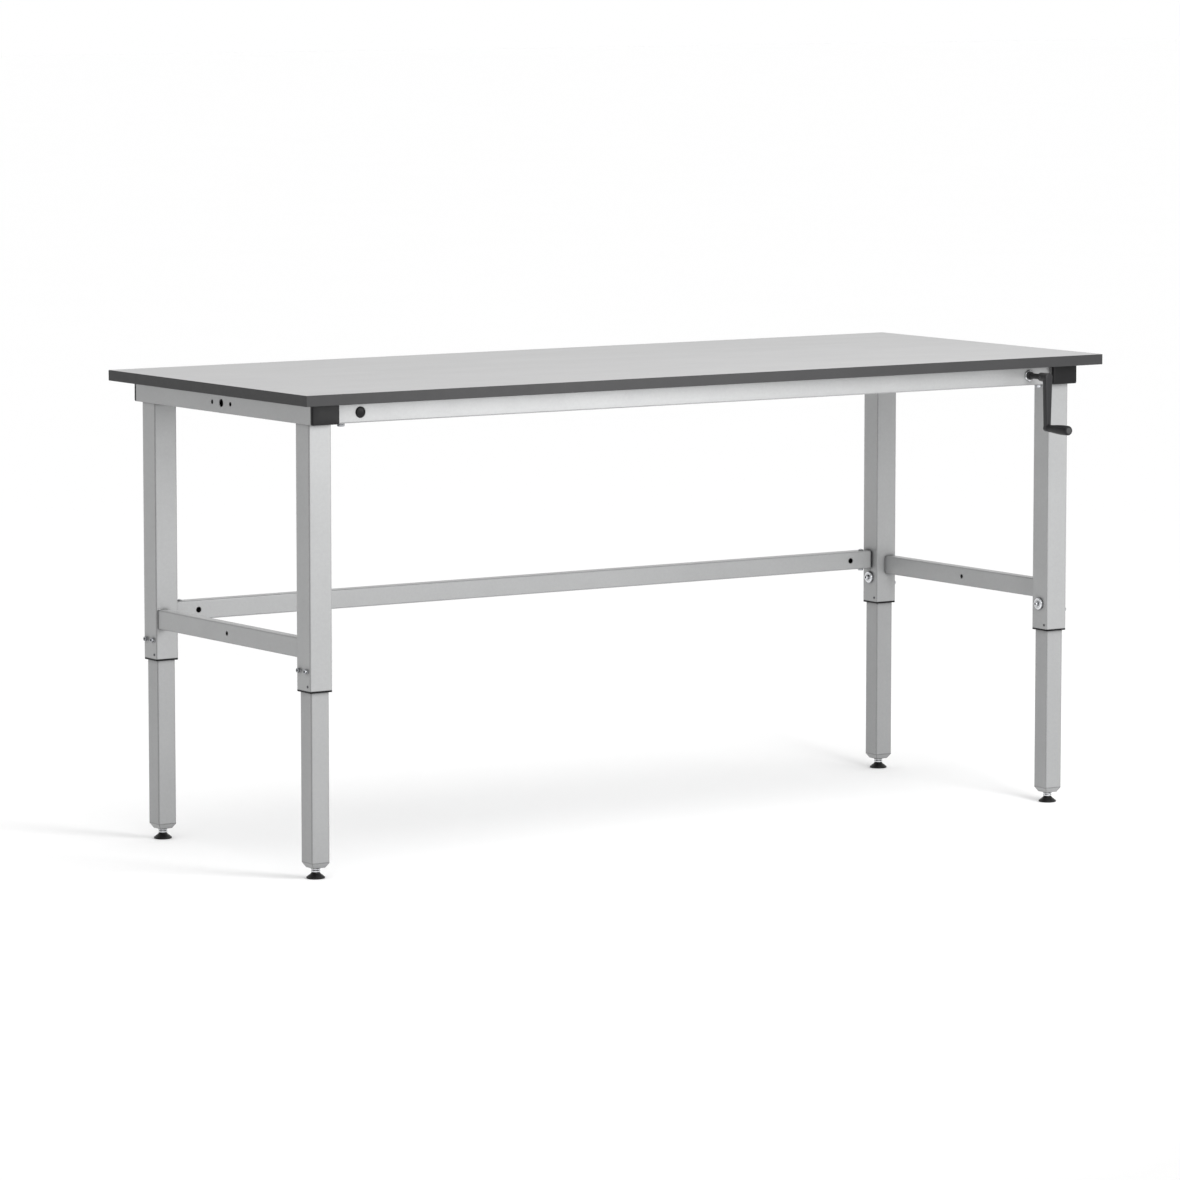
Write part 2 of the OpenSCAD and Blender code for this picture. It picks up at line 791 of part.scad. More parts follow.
module pump_cradle() {
  top_gap = top_under_z - pump_z;
  length = pump_end_y - cradle_y;
  color([0.7, 0.71, 0.72]) at_crank() difference() {
    union() {
      translate([-pump_half_w, cradle_y, top_gap - cradle_thick])
        cube([2 * pump_half_w, length, cradle_thick]);
      translate([-pump_half_w, cradle_y, -pump_h / 2])
        cube([2 * pump_half_w, cradle_thick, top_gap + pump_h / 2]);
    }
    bar_y(shaft_d + 2, cradle_y - 1, cradle_y + cradle_thick + 1);
    for (sx = [-1, 1], y = cradle_screw_y)
      translate([sx * cradle_screw_x, y, 0]) cylinder(h = top_gap + 1, d = screw_d);
  }
}

module pump_block() {
  color([0.66, 0.67, 0.69]) at_crank() difference() {
    translate([-pump_half_w, pump_y, -pump_h / 2])
      cube([2 * pump_half_w, pump_end_y - pump_y, pump_h]);
    for (x = pump_offsets) translate([x, 0, 0]) {
      bar_y(pump_rod_d + 2 * run_gap, pump_y - 1, pump_y + pump_gland + 1);
      bar_y(pump_bore, pump_y + pump_gland, pump_bore_end_y);
      bar_y(oil_way_d, pump_bore_end_y - 1, pump_end_y - oil_way_cover);
      bar_y(hose_d, pump_end_y - hose_seat, pump_end_y + 1);
    }
    bar_y(shaft_d + 2 * run_gap, pump_y - 1, spindle_end_y + 1);
  }
}

// Crosshead: the spindle's nut and the four pump rods are held in it.
module pump_yoke() {
  color([0.5, 0.51, 0.52]) at_crank() difference() {
    translate([-pump_half_w, yoke_y - yoke_thick / 2, yoke_side - pump_h / 2])
      cube([2 * pump_half_w, yoke_thick, pump_h - 2 * yoke_side]);
    bar_y(shaft_d + 2 * run_gap, yoke_y - yoke_thick, yoke_y + yoke_thick);
    for (x = pump_offsets) translate([x, 0, 0]) bar_y(pump_rod_d, yoke_y - yoke_seat, yoke_y + yoke_thick);
  }
}

module pump_pistons() {
  color([0.8, 0.81, 0.83]) at_crank() for (x = pump_offsets) translate([x, 0, 0]) {
    bar_y(pump_rod_d, yoke_y - yoke_seat, pump_piston_y);
    bar_y(pump_bore - 2 * run_gap, pump_piston_y, pump_piston_y + piston_length);
  }
}

// Straight length of hose; what follows is drawn at its end.
module hose_run(length) {
  cylinder(h = length, d = hose_d);
  translate([0, 0, length]) children();
}

// Quarter bend towards the given direction around the hose; what follows is drawn at its end.
module hose_turn(direction) {
  rotate([0, 0, direction]) {
    translate([hose_bend_r, 0, 0]) rotate([90, 0, 180]) rotate_extrude(angle = 90)
      translate([hose_bend_r, 0]) circle(d = hose_d);
    translate([hose_bend_r, 0, hose_bend_r]) rotate([0, 90, 0]) children();
  }
}

// Start of hose i at the pump, pointing backwards.
module hose_start(i) {
  at_crank() translate([pump_offsets[i], pump_end_y - hose_seat, 0]) rotate([-90, 0, 0]) children();
}

// Last piece of a hose: down through the end beam into a lift cylinder.
module hose_drop() {
  cylinder(h = beam_mid_z - hose_bend_r - beam_z + hose_seat, d = hose_d);
}

module hoses() {
  start_y = pump_end_y - hose_seat;
  r = hose_bend_r;
  color([0.1, 0.1, 0.11]) {
    // Front right leg.
    hose_start(3) hose_run(hose_y1 - start_y - r) hose_turn(0)
      hose_run(leg_x - crank_x - pump_offsets[3] - 2 * r) hose_turn(0)
        hose_run(hose_y1 + hose_rear_far - 2 * r) hose_turn(90) hose_drop();
    // Rear right leg.
    hose_start(2) hose_run(hose_y2 - start_y - r) hose_turn(0)
      hose_run(leg_x - crank_x - pump_offsets[2] - 2 * r) hose_turn(180)
        hose_run(hose_rear_far - hose_y2 - 2 * r) hose_turn(-90) hose_drop();
    // Rear left leg.
    hose_start(1) hose_run(hose_rear_far - start_y - r) hose_turn(180)
      hose_run(leg_x + crank_x + pump_offsets[1] - 2 * r) hose_turn(-90) hose_drop();
    // Front left leg.
    hose_start(0) hose_run(hose_rear_near - start_y - r) hose_turn(180)
      hose_run(leg_x + crank_x + pump_offsets[0] - 2 * r) hose_turn(0)
        hose_run(hose_rear_near + hose_rear_far - 2 * r) hose_turn(-90) hose_drop();
  }
}

module hose_nuts() {
  color([0.72, 0.6, 0.3]) {
    for (x = pump_offsets) at_crank() translate([x, pump_end_y, 0]) rotate([-90, 0, 0]) difference() {
      hexagon(nut_af, nut_h);
      translate([0, 0, -1]) cylinder(h = nut_h + 2, d = hose_d);
    }
    for (sx = [-1, 1], sy = [-1, 1]) at_leg(sx, sy) translate([0, sy * hose_port_offset, beam_z])
      difference() {
        hexagon(nut_af, nut_h);
        translate([0, 0, -1]) cylinder(h = nut_h + 2, d = hose_d);
      }
  }
}

// ---------- crank ----------

module crank_bush() {
  color([0.82, 0.83, 0.84]) at_crank() difference() {
    union() {
      translate([0, front_face_y, 0]) rotate([90, 0, 0]) hexagon(bush_nut_af, bush_nut_h);
      bar_y(bush_body_d, front_face_y, cradle_y);
    }
    bar_y(shaft_d + 2 * run_gap, front_face_y - bush_nut_h - 1, cradle_y + 1);
  }
}

module crank_shaft() {
  color([0.15, 0.15, 0.16]) at_crank() {
    bar_y(shaft_d, arm_front_y + shaft_seat, spindle_end_y);
    bar_y(collar_d, cradle_y + cradle_thick + slide_gap, cradle_y + cradle_thick + collar_h);
    bar_y(hub_d - 2, front_face_y - bush_nut_h - shaft_ring_h, front_face_y - bush_nut_h - slide_gap);
  }
}

module crank_arm() {
  r1 = hub_d / 2;
  r2 = arm_end_d / 2;
  color([0.2, 0.2, 0.21]) at_crank() difference() {
    union() {
      translate([0, arm_back_y, 0]) rotate([90, 0, 0]) linear_extrude(height = arm_thick) {
        circle(r = r1);
        translate([0, -crank_radius]) circle(r = r2);
        polygon([[-r1 + 1, 0], [-r2, -crank_radius], [r2, -crank_radius], [r1 - 1, 0]]);
      }
      bar_y(hub_d, arm_front_y, arm_front_y + arm_thick + hub_length);
    }
    bar_y(shaft_d, arm_front_y + shaft_seat, 0);
    translate([0, 0, -crank_radius]) bar_y(grip_pin_d, arm_front_y - 1, arm_back_y + 1);
  }
}

module grip_pin() {
  grip_washer_y = grip_start_y - grip_length + 2;
  color([0.7, 0.71, 0.72]) at_crank() translate([0, 0, -crank_radius]) {
    bar_y(grip_pin_d, grip_washer_y + grip_washer_h, arm_back_y);
    bar_y(grip_washer_d, grip_washer_y, grip_washer_y + grip_washer_h);
  }
}

module crank_grip() {
  color([0.14, 0.14, 0.15]) at_crank() translate([0, grip_start_y, -crank_radius]) rotate([90, 0, 0])
    rotate_extrude() difference() {
      polygon([
        [0, 0], [grip_d1 / 2 - 1, 0], [grip_d1 / 2, 1], [grip_d2 / 2, grip_length * 0.55],
        [grip_d2 / 2, grip_length], [0, grip_length]
      ]);
      square([grip_pin_d / 2 + run_gap, grip_length]);
      translate([0, grip_length - grip_head_room]) square([grip_washer_d / 2 + 1, grip_head_room]);
    }
}

module grip_cap() {
  color([0.35, 0.35, 0.36]) at_crank() translate([0, grip_start_y - grip_length, -crank_radius])
    rotate([90, 0, 0]) cylinder(h = grip_cap_h, d1 = grip_d2, d2 = grip_d2 - 3);
}

// ---------- plug and fasteners ----------

module beam_plug() {
  color([0.08, 0.08, 0.09]) desk() translate([-crank_x, front_face_y, beam_mid_z]) {
    rotate([90, 0, 0]) cylinder(h = plug_head_h, d1 = plug_d + 3, d2 = plug_d + 1);
    bar_y(plug_d, 0, plug_depth);
  }
}

module guide_flanges() {
  color([0.84, 0.85, 0.86]) for (sx = [-1, 1], sy = [-1, 1]) at_leg(sx, sy)
    translate([-sx * leg_size / 2, 0, guide_bolt_z]) rotate([0, -90 * sx, 0]) difference() {
      cylinder(h = guide_flange_h, d = guide_flange_d);
      translate([0, 0, -1]) cylinder(h = guide_flange_h + 2, d = guide_bolt_d);
    }
}

module guide_bolts() {
  shank = guide_flange_h + leg_wall + bush_wall - 2 * slide_gap;
  color([0.55, 0.56, 0.58]) for (sx = [-1, 1], sy = [-1, 1]) at_leg(sx, sy)
    translate([-sx * (leg_size / 2 + guide_flange_h), 0, guide_bolt_z]) rotate([0, -90 * sx, 0])
      socket_bolt(guide_bolt_d, shank, guide_head_d, guide_head_h);
}

module side_bolts() {
  shank = leg_wall + bush_wall - 2 * slide_gap;
  color([0.7, 0.71, 0.72]) for (sx = [-1, 1], sy = [-1, 1]) at_leg(sx, sy) for (s = [-1, 1])
    translate([sx * leg_size / 2, s * side_bolt_y, side_bolt_z]) rotate([0, 90 * sx, 0])
      socket_bolt(side_bolt_d, shank, side_head_d, side_head_h);
}

module bush_screws() {
  shank = leg_wall + bush_wall - 2 * slide_gap;
  color([0.3, 0.3, 0.31]) for (sx = [-1, 1], sy = [-1, 1]) at_leg(sx, sy)
    translate([-leg_size / 2, bush_screw_y, bush_screw_z]) rotate([0, -90, 0])
      socket_bolt(bush_screw_d, shank, bush_head_d, bush_head_h);
}

module beam_bolts() {
  color([0.75, 0.76, 0.77]) desk() for (sx = [-1, 1], sy = [-1, 1])
    translate([sx * (end_beam_inner_x - tongue_bolt_inset), upper_beam_y(sy), beam_z]) rotate([180, 0, 0]) {
      translate([0, 0, tongue_washer_h])
        hex_bolt(tongue_bolt_d, tongue_bolt_length, tongue_bolt_af, tongue_bolt_head_h);
      difference() {
        cylinder(h = tongue_washer_h, d = tongue_washer_d);
        translate([0, 0, -1]) cylinder(h = tongue_washer_h + 2, d = tongue_bolt_d);
      }
    }
}

// Through bolts of the stretcher: round head on top, nut below.
module stretcher_bolts() {
  color([0.6, 0.61, 0.62]) desk() for (sx = [-1, 1])
    translate([sx * (stretcher_half - stretcher_bolt_inset), rear_beam_y, stretcher_z + rail_height]) {
      socket_bolt(stretcher_bolt_d, rail_height + stretcher_nut_h, stretcher_head_d, stretcher_head_h);
      translate([0, 0, -rail_height - stretcher_nut_h]) hexagon(stretcher_nut_af, stretcher_nut_h);
    }
}

// Wood screws that hold the frame and the pump cradle under the worktop.
module top_screws() {
  color([0.7, 0.68, 0.6]) desk() {
    for (sx = [-1, 1], f = screw_rows) translate([sx * leg_x, f * (leg_y - leg_size), 0])
      wood_screw(top_under_z - beam_wall);
    for (sy = [-1, 1], f = beam_screw_x) translate([f * leg_x, upper_beam_y(sy), 0])
      wood_screw(top_under_z - beam_wall);
    for (sx = [-1, 1], y = cradle_screw_y)
      translate([crank_x + sx * cradle_screw_x, y, 0]) wood_screw(top_under_z - cradle_thick);
  }
}

// Screw pointing up, with its head just below the given height.
module wood_screw(seat_z) {
  translate([0, 0, seat_z - screw_head_h]) cylinder(h = screw_head_h, d = screw_head_d);
  translate([0, 0, seat_z - 1]) cylinder(h = top_under_z + screw_bite - seat_z + 1, d = screw_d);
}

// ---------- the assembly ----------

top_core();
top_laminate();
edge_band();
end_beam_left();
end_beam_right();
beam_caps();
front_beam();
rear_beam();
tongues();
leg_tube_fl();
leg_tube_fr();
leg_tube_rl();
leg_tube_rr();
side_rail_left();
side_rail_right();
rear_stretcher();
glide_bushes();
lift_cylinders();
hoses();
hose_nuts();
pump_cradle();
pump_block();
crank_bush();
beam_plug();
guide_flanges();
guide_bolts();
side_bolts();
bush_screws();
beam_bolts();
stretcher_bolts();
top_screws();
pump_yoke();
pump_pistons();
crank_shaft();
crank_arm();
grip_pin();
crank_grip();
grip_cap();
inner_tube_fl();
inner_tube_fr();
inner_tube_rl();
inner_tube_rr();
top_glide_fl();
top_glide_fr();
top_glide_rl();
top_glide_rr();
end_plug_fl();
end_plug_fr();
end_plug_rl();
end_plug_rr();
piston_rod_fl();
piston_rod_fr();
piston_rod_rl();
piston_rod_rr();
foot_fl();
foot_fr();
foot_rl();
foot_rr();
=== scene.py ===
"""Looks of a height adjustable standing desk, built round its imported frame.

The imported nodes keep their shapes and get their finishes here. Small hardware, the crank, the feet and
the plastic caps are built again with the detail that a turned, moulded or welded piece has.
All sizes are in metres.
"""

import json
import logging
import math
from collections.abc import Callable, Iterable, Sequence
from dataclasses import dataclass, field
from enum import Enum

import bmesh
import bpy
from mathutils import Matrix, Vector


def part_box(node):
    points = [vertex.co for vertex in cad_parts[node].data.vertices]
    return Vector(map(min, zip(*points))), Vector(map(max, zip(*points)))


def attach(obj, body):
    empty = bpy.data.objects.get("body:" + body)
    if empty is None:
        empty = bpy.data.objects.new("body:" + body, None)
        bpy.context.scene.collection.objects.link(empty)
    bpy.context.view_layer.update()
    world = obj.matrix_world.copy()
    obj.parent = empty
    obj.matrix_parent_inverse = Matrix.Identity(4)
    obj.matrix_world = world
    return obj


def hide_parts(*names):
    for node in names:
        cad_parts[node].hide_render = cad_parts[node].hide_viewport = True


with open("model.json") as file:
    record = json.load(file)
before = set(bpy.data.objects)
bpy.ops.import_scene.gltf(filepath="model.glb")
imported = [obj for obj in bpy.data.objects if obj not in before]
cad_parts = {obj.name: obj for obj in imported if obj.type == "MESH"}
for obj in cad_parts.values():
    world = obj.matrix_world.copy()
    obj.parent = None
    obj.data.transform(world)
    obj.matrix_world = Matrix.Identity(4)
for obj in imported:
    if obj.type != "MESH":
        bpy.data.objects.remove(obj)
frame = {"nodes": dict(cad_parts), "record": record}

LOG = logging.getLogger("desk")
UP, LEFT = Vector((0.0, 0.0, 1.0)), Vector((-1.0, 0.0, 0.0))
FORWARD, BACK = Vector((0.0, -1.0, 0.0)), Vector((0.0, 1.0, 0.0))
Colour = tuple[float, float, float]
Point = tuple[float, float, float]
Tree, Node = bpy.types.NodeTree, bpy.types.Node
Output, Outputs = bpy.types.NodeSocket, bpy.types.bpy_prop_collection
Profile = Sequence[tuple[float, float]]


# ---------------------------------------------------------------- places


class Corner(Enum):
    """One of the desk's four legs."""

    FRONT_LEFT = "fl"
    FRONT_RIGHT = "fr"
    REAR_LEFT = "rl"
    REAR_RIGHT = "rr"

    @property
    def side(self) -> int:
        """-1 on the left, 1 on the right."""
        return -1 if self.value.endswith("l") else 1

    @property
    def row(self) -> int:
        """-1 at the front, 1 at the back."""
        return -1 if self.value.startswith("f") else 1


@dataclass(frozen=True)
class Box:
    """Lowest and highest corner of something."""

    lo: Vector
    hi: Vector

    @classmethod
    def of(cls, node: str) -> "Box":
        """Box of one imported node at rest, in the desk's frame."""
        lo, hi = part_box(node)
        return cls(Vector(lo), Vector(hi))

    @property
    def middle(self) -> Vector:
        """Centre of the box."""
        return (self.lo + self.hi) / 2

    @property
    def size(self) -> Vector:
        """Edge lengths of the box."""
        return self.hi - self.lo


def facing(place: Vector, direction: Vector) -> Matrix:
    """Frame at a place, whose +Z points along a direction."""
    turn = direction.normalized().to_track_quat("Z", "Y").to_matrix().to_4x4()
    return Matrix.Translation(place) @ turn


def raised(place: Matrix, up: float) -> Matrix:
    """Frame moved along its own +Z."""
    return place @ Matrix.Translation(Vector((0, 0, up)))


def shown(name: str, data: bpy.types.ID) -> bpy.types.Object:
    """New object in the scene for a mesh, a light or a camera."""
    piece = bpy.data.objects.new(name, data)
    bpy.context.scene.collection.objects.link(piece)
    return piece


# ---------------------------------------------------------------- shader wiring


class Wiring:
    """A node tree under construction."""

    def __init__(self, tree: Tree) -> None:
        """Starts from a material's, a world's or a group's tree."""
        self.tree = tree

    def add(self, kind: str, **settings: object) -> Node:
        """Adds a node of a type, with settings such as operation or samples."""
        node = self.tree.nodes.new(kind)
        for name, value in settings.items():
            setattr(node, name, value)
        return node

    def only(self, kind: str) -> Node:
        """The tree's one node of a type, added when it is first asked for."""
        known = next((node for node in self.tree.nodes if node.bl_idname == kind), None)
        return known or self.add(kind)

    def feed(self, node: Node, socket: str | int, value: object) -> None:
        """Sets an input, or links it when the value is another node's output.

        Args:
            node: the node that takes the value.
            socket: the input's name or number.
            value: a number, a colour, or an output socket.
        """
        if isinstance(value, Output):
            self.tree.links.new(value, node.inputs[socket])
        elif isinstance(value, tuple) and len(value) == 3 and node.inputs[socket].type == "RGBA":
            node.inputs[socket].default_value = (*value, 1.0)
        else:
            node.inputs[socket].default_value = value

    def feeds(self, node: Node, **values: object) -> Outputs:
        """Feeds inputs by name, with underscores for spaces, and returns the node's outputs."""
        for name, value in values.items():
            self.feed(node, name.replace("_", " "), value)
        return node.outputs

    def take(self, name: str) -> Output:
        """One of the values that come into a group."""
        return self.only("NodeGroupInput").outputs[name]

    def give(self, **values: object) -> None:
        """Sends values out of a group."""
        self.feeds(self.only("NodeGroupOutput"), **values)

    def math(self, operation: str, *values: object, clamp: bool = False) -> Output:
        """Adds a maths node.

        Args:
            operation: what it computes, such as POWER.
            values: its inputs, numbers or sockets.
            clamp: whether the result stays between 0 and 1.

        Returns:
            The result's socket.
        """
        node = self.add("ShaderNodeMath", operation=operation, use_clamp=clamp)
        for number, value in enumerate(values):
            self.feed(node, number, value)
        return node.outputs[0]

    def times(self, first: object, second: object, clamp: bool = False) -> Output:
        """Product of two numbers or sockets."""
        return self.math("MULTIPLY", first, second, clamp=clamp)

    def plus(self, first: object, second: object, clamp: bool = False) -> Output:
        """Sum of two numbers or sockets."""
        return self.math("ADD", first, second, clamp=clamp)

    def rest(self, value: object, clamp: bool = False) -> Output:
        """What is left of 1 after a number or socket."""
        return self.math("SUBTRACT", 1.0, value, clamp=clamp)

    def dot(self, first: object, second: object) -> Output:
        """Dot product of two vectors."""
        node = self.add("ShaderNodeVectorMath", operation="DOT_PRODUCT")
        self.feed(node, 0, first)
        self.feed(node, 1, second)
        return node.outputs["Value"]

    def split(self, kind: str, value: object) -> Outputs:
        """Parts of a vector (XYZ) or of a colour (Color)."""
        node = self.add(f"ShaderNodeSeparate{kind}")
        self.feed(node, 0, value)
        return node.outputs

    def mix(self, share: object, first: object, second: object) -> Output:
        """Mixes two colours or sockets; a share of 0 is the first, 1 the second."""
        node = self.add("ShaderNodeMix", data_type="RGBA")
        for socket, value in ((0, share), (6, first), (7, second)):
            self.feed(node, socket, value)
        return node.outputs[2]

    def own_place(self) -> Output:
        """The piece's own coordinates."""
        return self.add("ShaderNodeTexCoord").outputs["Object"]

    def normal(self) -> Output:
        """The surface's normal, without bump."""
        return self.add("ShaderNodeNewGeometry").outputs["Normal"]

    def cells(self, size: object, feature: str = "F1") -> Outputs:
        """Random cells of a size in metres, in the piece's own coordinates."""
        node = self.add("ShaderNodeTexVoronoi", feature=feature)
        return self.feeds(node, Vector=self.own_place(), Scale=self.math("DIVIDE", 1.0, size))

    def noise(self, size: object, detail: float = 2.0,
              stretch: Vector | None = None) -> Output:
        """Adds noise in the piece's own coordinates.

        Args:
            size: size of the noise's patches in metres, a number or a socket.
            detail: how many finer layers it has.
            stretch: scale along each axis, for streaks.

        Returns:
            The noise value's socket.
        """
        place = self.own_place()
        if stretch is not None:
            place = self.feeds(self.add("ShaderNodeMapping"), Vector=place, Scale=stretch)[0]
        scale = self.math("DIVIDE", 1.0, size)
        return self.feeds(self.add("ShaderNodeTexNoise"), Vector=place, Scale=scale, Detail=detail)["Fac"]

    def group(self, shared: Callable[[], Tree],
              **values: object) -> Outputs:
        """Places a shared effect, feeds it by name and returns its outputs."""
        return self.feeds(self.add("ShaderNodeGroup", node_tree=shared()), **values)


def effect(takes: dict[str, float | Colour],
           **gives: str) -> Callable[[Callable[[Wiring], None]], Callable[[], Tree]]:
    """Turns a wiring function into a shared effect, built once as a shader node group.

    Args:
        takes: the group's inputs and their usual values; a number is a value and three numbers a colour.
        gives: its outputs and their socket kinds, Float or Color.

    Returns:
        Decorator whose function takes nothing and returns the group's node tree.
    """

    def decorate(wire: Callable[[Wiring], None]) -> Callable[[], Tree]:
        """Puts the function that finds or builds the group in place of the wiring function."""

        def shared() -> Tree:
            """The group's tree, built the first time."""
            tree = bpy.data.node_groups.get(wire.__name__)
            if tree is not None:
                return tree
            tree = bpy.data.node_groups.new(wire.__name__, "ShaderNodeTree")
            for label, usual in takes.items():
                is_colour = isinstance(usual, tuple)
                kind = "NodeSocketColor" if is_colour else "NodeSocketFloat"
                socket = tree.interface.new_socket(name=label, in_out="INPUT", socket_type=kind)
                socket.default_value = (*usual, 1.0) if is_colour else usual
            for label, kind in gives.items():
                tree.interface.new_socket(name=label, in_out="OUTPUT", socket_type=f"NodeSocket{kind}")
            wire(Wiring(tree))
            return tree

        return shared

    return decorate


# ---------------------------------------------------------------- shared effects


@effect({"Colour": (0.5, 0.5, 0.5), "Spread": 0.1, "Patch": 0.1}, Colour="Color")
def uneven_tint(w: Wiring) -> None:
    """Lets a colour wander a little over the surface, with slow and fine noise."""
    slow = w.noise(w.take("Patch"), 3.0)
    fine = w.noise(w.times(w.take("Patch"), 0.04), 2.0)
    wander = w.times(w.math("SUBTRACT", w.plus(slow, fine), 1.0), w.take("Spread"))
    scale = w.add("ShaderNodeVectorMath", operation="SCALE")
    w.feed(scale, 0, w.take("Colour"))
    w.feed(scale, "Scale", w.plus(wander, 1.0))
    w.give(Colour=scale.outputs[0])


@effect({"Grain": 0.0012}, Height="Float")
def orange_peel(w: Wiring) -> None:
    """Height of a sprayed and baked powder coat: a fine and a coarse ripple."""
    fine = w.noise(w.take("Grain"), 1.5)
    coarse = w.noise(w.times(w.take("Grain"), 5.0), 1.0)
    w.give(Height=w.plus(w.times(fine, 0.7), w.times(coarse, 0.5)))


@effect({"Size": 0.001, "Share": 0.3}, Mask="Float")
def flakes(w: Wiring) -> None:
    """Metal flakes or laminate specks: soft dots in the given share of small cells."""
    cells = w.cells(w.take("Size"))
    kept = w.math("LESS_THAN", w.split("Color", cells["Color"])[0], w.take("Share"))
    w.give(Mask=w.times(kept, w.rest(w.times(cells["Distance"], 1.6), clamp=True)))


@effect({"Width": 0.001, "Gain": 6.0, "Breakup": 0.6}, Mask="Float")
def edge_wear_and_shade(w: Wiring) -> None:
    """Mask of the outer edges, broken up with noise: rubbed edges on plastic, and painted shade on the powder
    coat's edges.
    """
    soft = w.feeds(w.add("ShaderNodeBevel", samples=4), Radius=w.take("Width"))[0]
    turned = w.times(w.rest(w.dot(soft, w.normal())), w.take("Gain"), clamp=True)
    patch = w.times(w.noise(0.02, 3.0), w.take("Breakup"))
    w.give(Mask=w.times(turned, w.rest(patch), clamp=True))


@effect({"Amount": 0.2, "Patch": 0.15}, Mask="Float")
def settled_dust(w: Wiring) -> None:
    """Clouded mask of the faces that look up, where dust and hands leave a film."""
    upward = w.math("POWER", w.math("MAXIMUM", w.split("XYZ", w.normal())["Z"], 0.0), 2.0)
    cloud = w.times(w.noise(w.take("Patch"), 4.0), w.take("Amount"))
    w.give(Mask=w.times(upward, cloud, clamp=True))


@effect({"Reach": 0.008, "Amount": 0.6}, Mask="Float")
def painted_crevice_shade(w: Wiring) -> None:
    """Mask of painted shade in inner corners and narrow gaps, and in what is enclosed on nearly all sides."""

    def cover(reach: object, power: float) -> Output:
        """How much of the view is blocked within a distance, raised to a power."""
        probe = w.feeds(w.add("ShaderNodeAmbientOcclusion", samples=6), Distance=reach)
        return w.math("POWER", w.rest(probe["AO"], clamp=True), power)

    near = w.times(w.times(cover(w.take("Reach"), 1.4), 2.2), w.take("Amount"))
    # Second term darkens what is enclosed on nearly all sides, such as a tube's inside: painted shade there,
    # and the bare steel a tube has inside.
    w.give(Mask=w.plus(near, w.times(cover(0.05, 5.0), 1.3), clamp=True))


@effect({"Grain": 0.0006}, Height="Float")
def moulded_grain(w: Wiring) -> None:
    """Height of the spark-eroded grain on moulded plastic: rounded cells and fine noise."""
    cells = w.cells(w.take("Grain"), "SMOOTH_F1")
    fine = w.noise(w.times(w.take("Grain"), 0.5), 1.0)
    w.give(Height=w.plus(cells["Distance"], w.times(fine, 0.5)))


@effect({"Pitch": 0.0004}, Height="Float", Shade="Float")
def tool_marks(w: Wiring) -> None:
    """Rings that a lathe leaves round a piece's own Z axis, and fine clouds."""
    place = w.split("XYZ", w.own_place())
    across = w.plus(w.math("POWER", place["X"], 2.0), w.math("POWER", place["Y"], 2.0))
    run = w.plus(w.math("SQRT", across), place["Z"])
    turns = w.math("DIVIDE", w.times(run, 2 * math.pi), w.take("Pitch"))
    rings = w.times(w.math("SINE", turns), 0.5)
    cloud = w.noise(0.002, 3.0)
    w.give(Height=w.plus(rings, cloud), Shade=w.plus(w.times(rings, 0.3), cloud, clamp=True))


# ---------------------------------------------------------------- finishes


def scaled(colour: Colour, factor: float) -> Colour:
    """A colour made lighter or darker, each part at most 1."""
    return tuple(min(1.0, part * factor) for part in colour)


@dataclass(frozen=True)
class Finish:
    """What all finishes share: one material, made when it is first asked for."""

    name: str
    slot: str

    def material(self) -> bpy.types.Material:
        """The finish's one material, built the first time."""
        known = bpy.data.materials.get(self.name)
        if known is not None:
            return known
        made = bpy.data.materials.new(self.name)
        made.use_nodes = True
        self.wire(Wiring(made.node_tree), made.node_tree.nodes["Principled BSDF"])
        return made

    def wire(self, w: Wiring, shader: Node) -> None:
        """Fills the material's tree in front of its Principled BSDF."""
        raise NotImplementedError

    @staticmethod
    def raise_height(w: Wiring, shader: Node, height: object, depth: float,
                     strength: float) -> None:
        """Feeds a height to the shader as a bump; depth is what a height of 1 stands for in metres."""
        bump = w.feeds(w.add("ShaderNodeBump"), Strength=strength, Distance=depth, Height=height)
        w.feeds(shader, Normal=bump[0])


@dataclass(frozen=True)
class PowderCoat(Finish):
    """Sprayed and baked coat on steel, with metal flakes if it is a silver one."""

    colour: Colour = (0.5, 0.5, 0.5)
    metallic: float = 0.3
    roughness: float = 0.45
    grain: float = 0.0011
    flake_gain: float = 0.16
    edge_shade_share: float = 0.75
    specular: float = 0.5
    gloss: float = 0.5
    edge_shade: float = 0.22
    crevice_shade_factor: float = 0.12
    dust_colour: Colour = (0.5, 0.5, 0.49)

    def wire(self, w: Wiring, shader: Node) -> None:
        """Colour with flakes, painted shade on the outer edges and in the crevices, dust, orange peel and
        uneven gloss.
        """
        tint = w.group(uneven_tint, Colour=self.colour, Spread=0.1, Patch=0.16)[0]
        dots = w.group(flakes, Size=0.0009, Share=0.35)[0]
        flaked = w.mix(w.times(dots, self.flake_gain), tint, scaled(self.colour, 1 + self.flake_gain * 4))
        # Painted shade: the outer edges darken towards a much darker copy of the coat colour.
        corner = w.group(edge_wear_and_shade, Width=0.0026, Gain=22.0, Breakup=0.3)[0]
        coloured = w.mix(w.times(corner, self.edge_shade_share), flaked, scaled(self.colour, self.edge_shade))
        dust = w.group(settled_dust, Amount=0.12, Patch=0.12)[0]
        # Painted shade: inner corners, gaps and enclosed hollows darken towards a darker copy of the coat
        # colour.
        crevice_shade = w.group(painted_crevice_shade, Reach=0.009, Amount=0.75)[0]
        dusted = w.mix(dust, coloured, self.dust_colour)
        rough = w.plus(w.times(w.noise(0.05, 3.0), 0.14), self.roughness - 0.07)
        w.feeds(shader, Base_Color=w.mix(crevice_shade, dusted, scaled(self.colour, self.crevice_shade_factor)),
                Metallic=self.metallic, Specular_IOR_Level=self.specular,
                Coat_Weight=self.gloss, Coat_Roughness=0.2, Roughness=w.plus(rough, dust))
        self.raise_height(w, shader, w.group(orange_peel, Grain=self.grain)[0], 0.00004, 0.55)


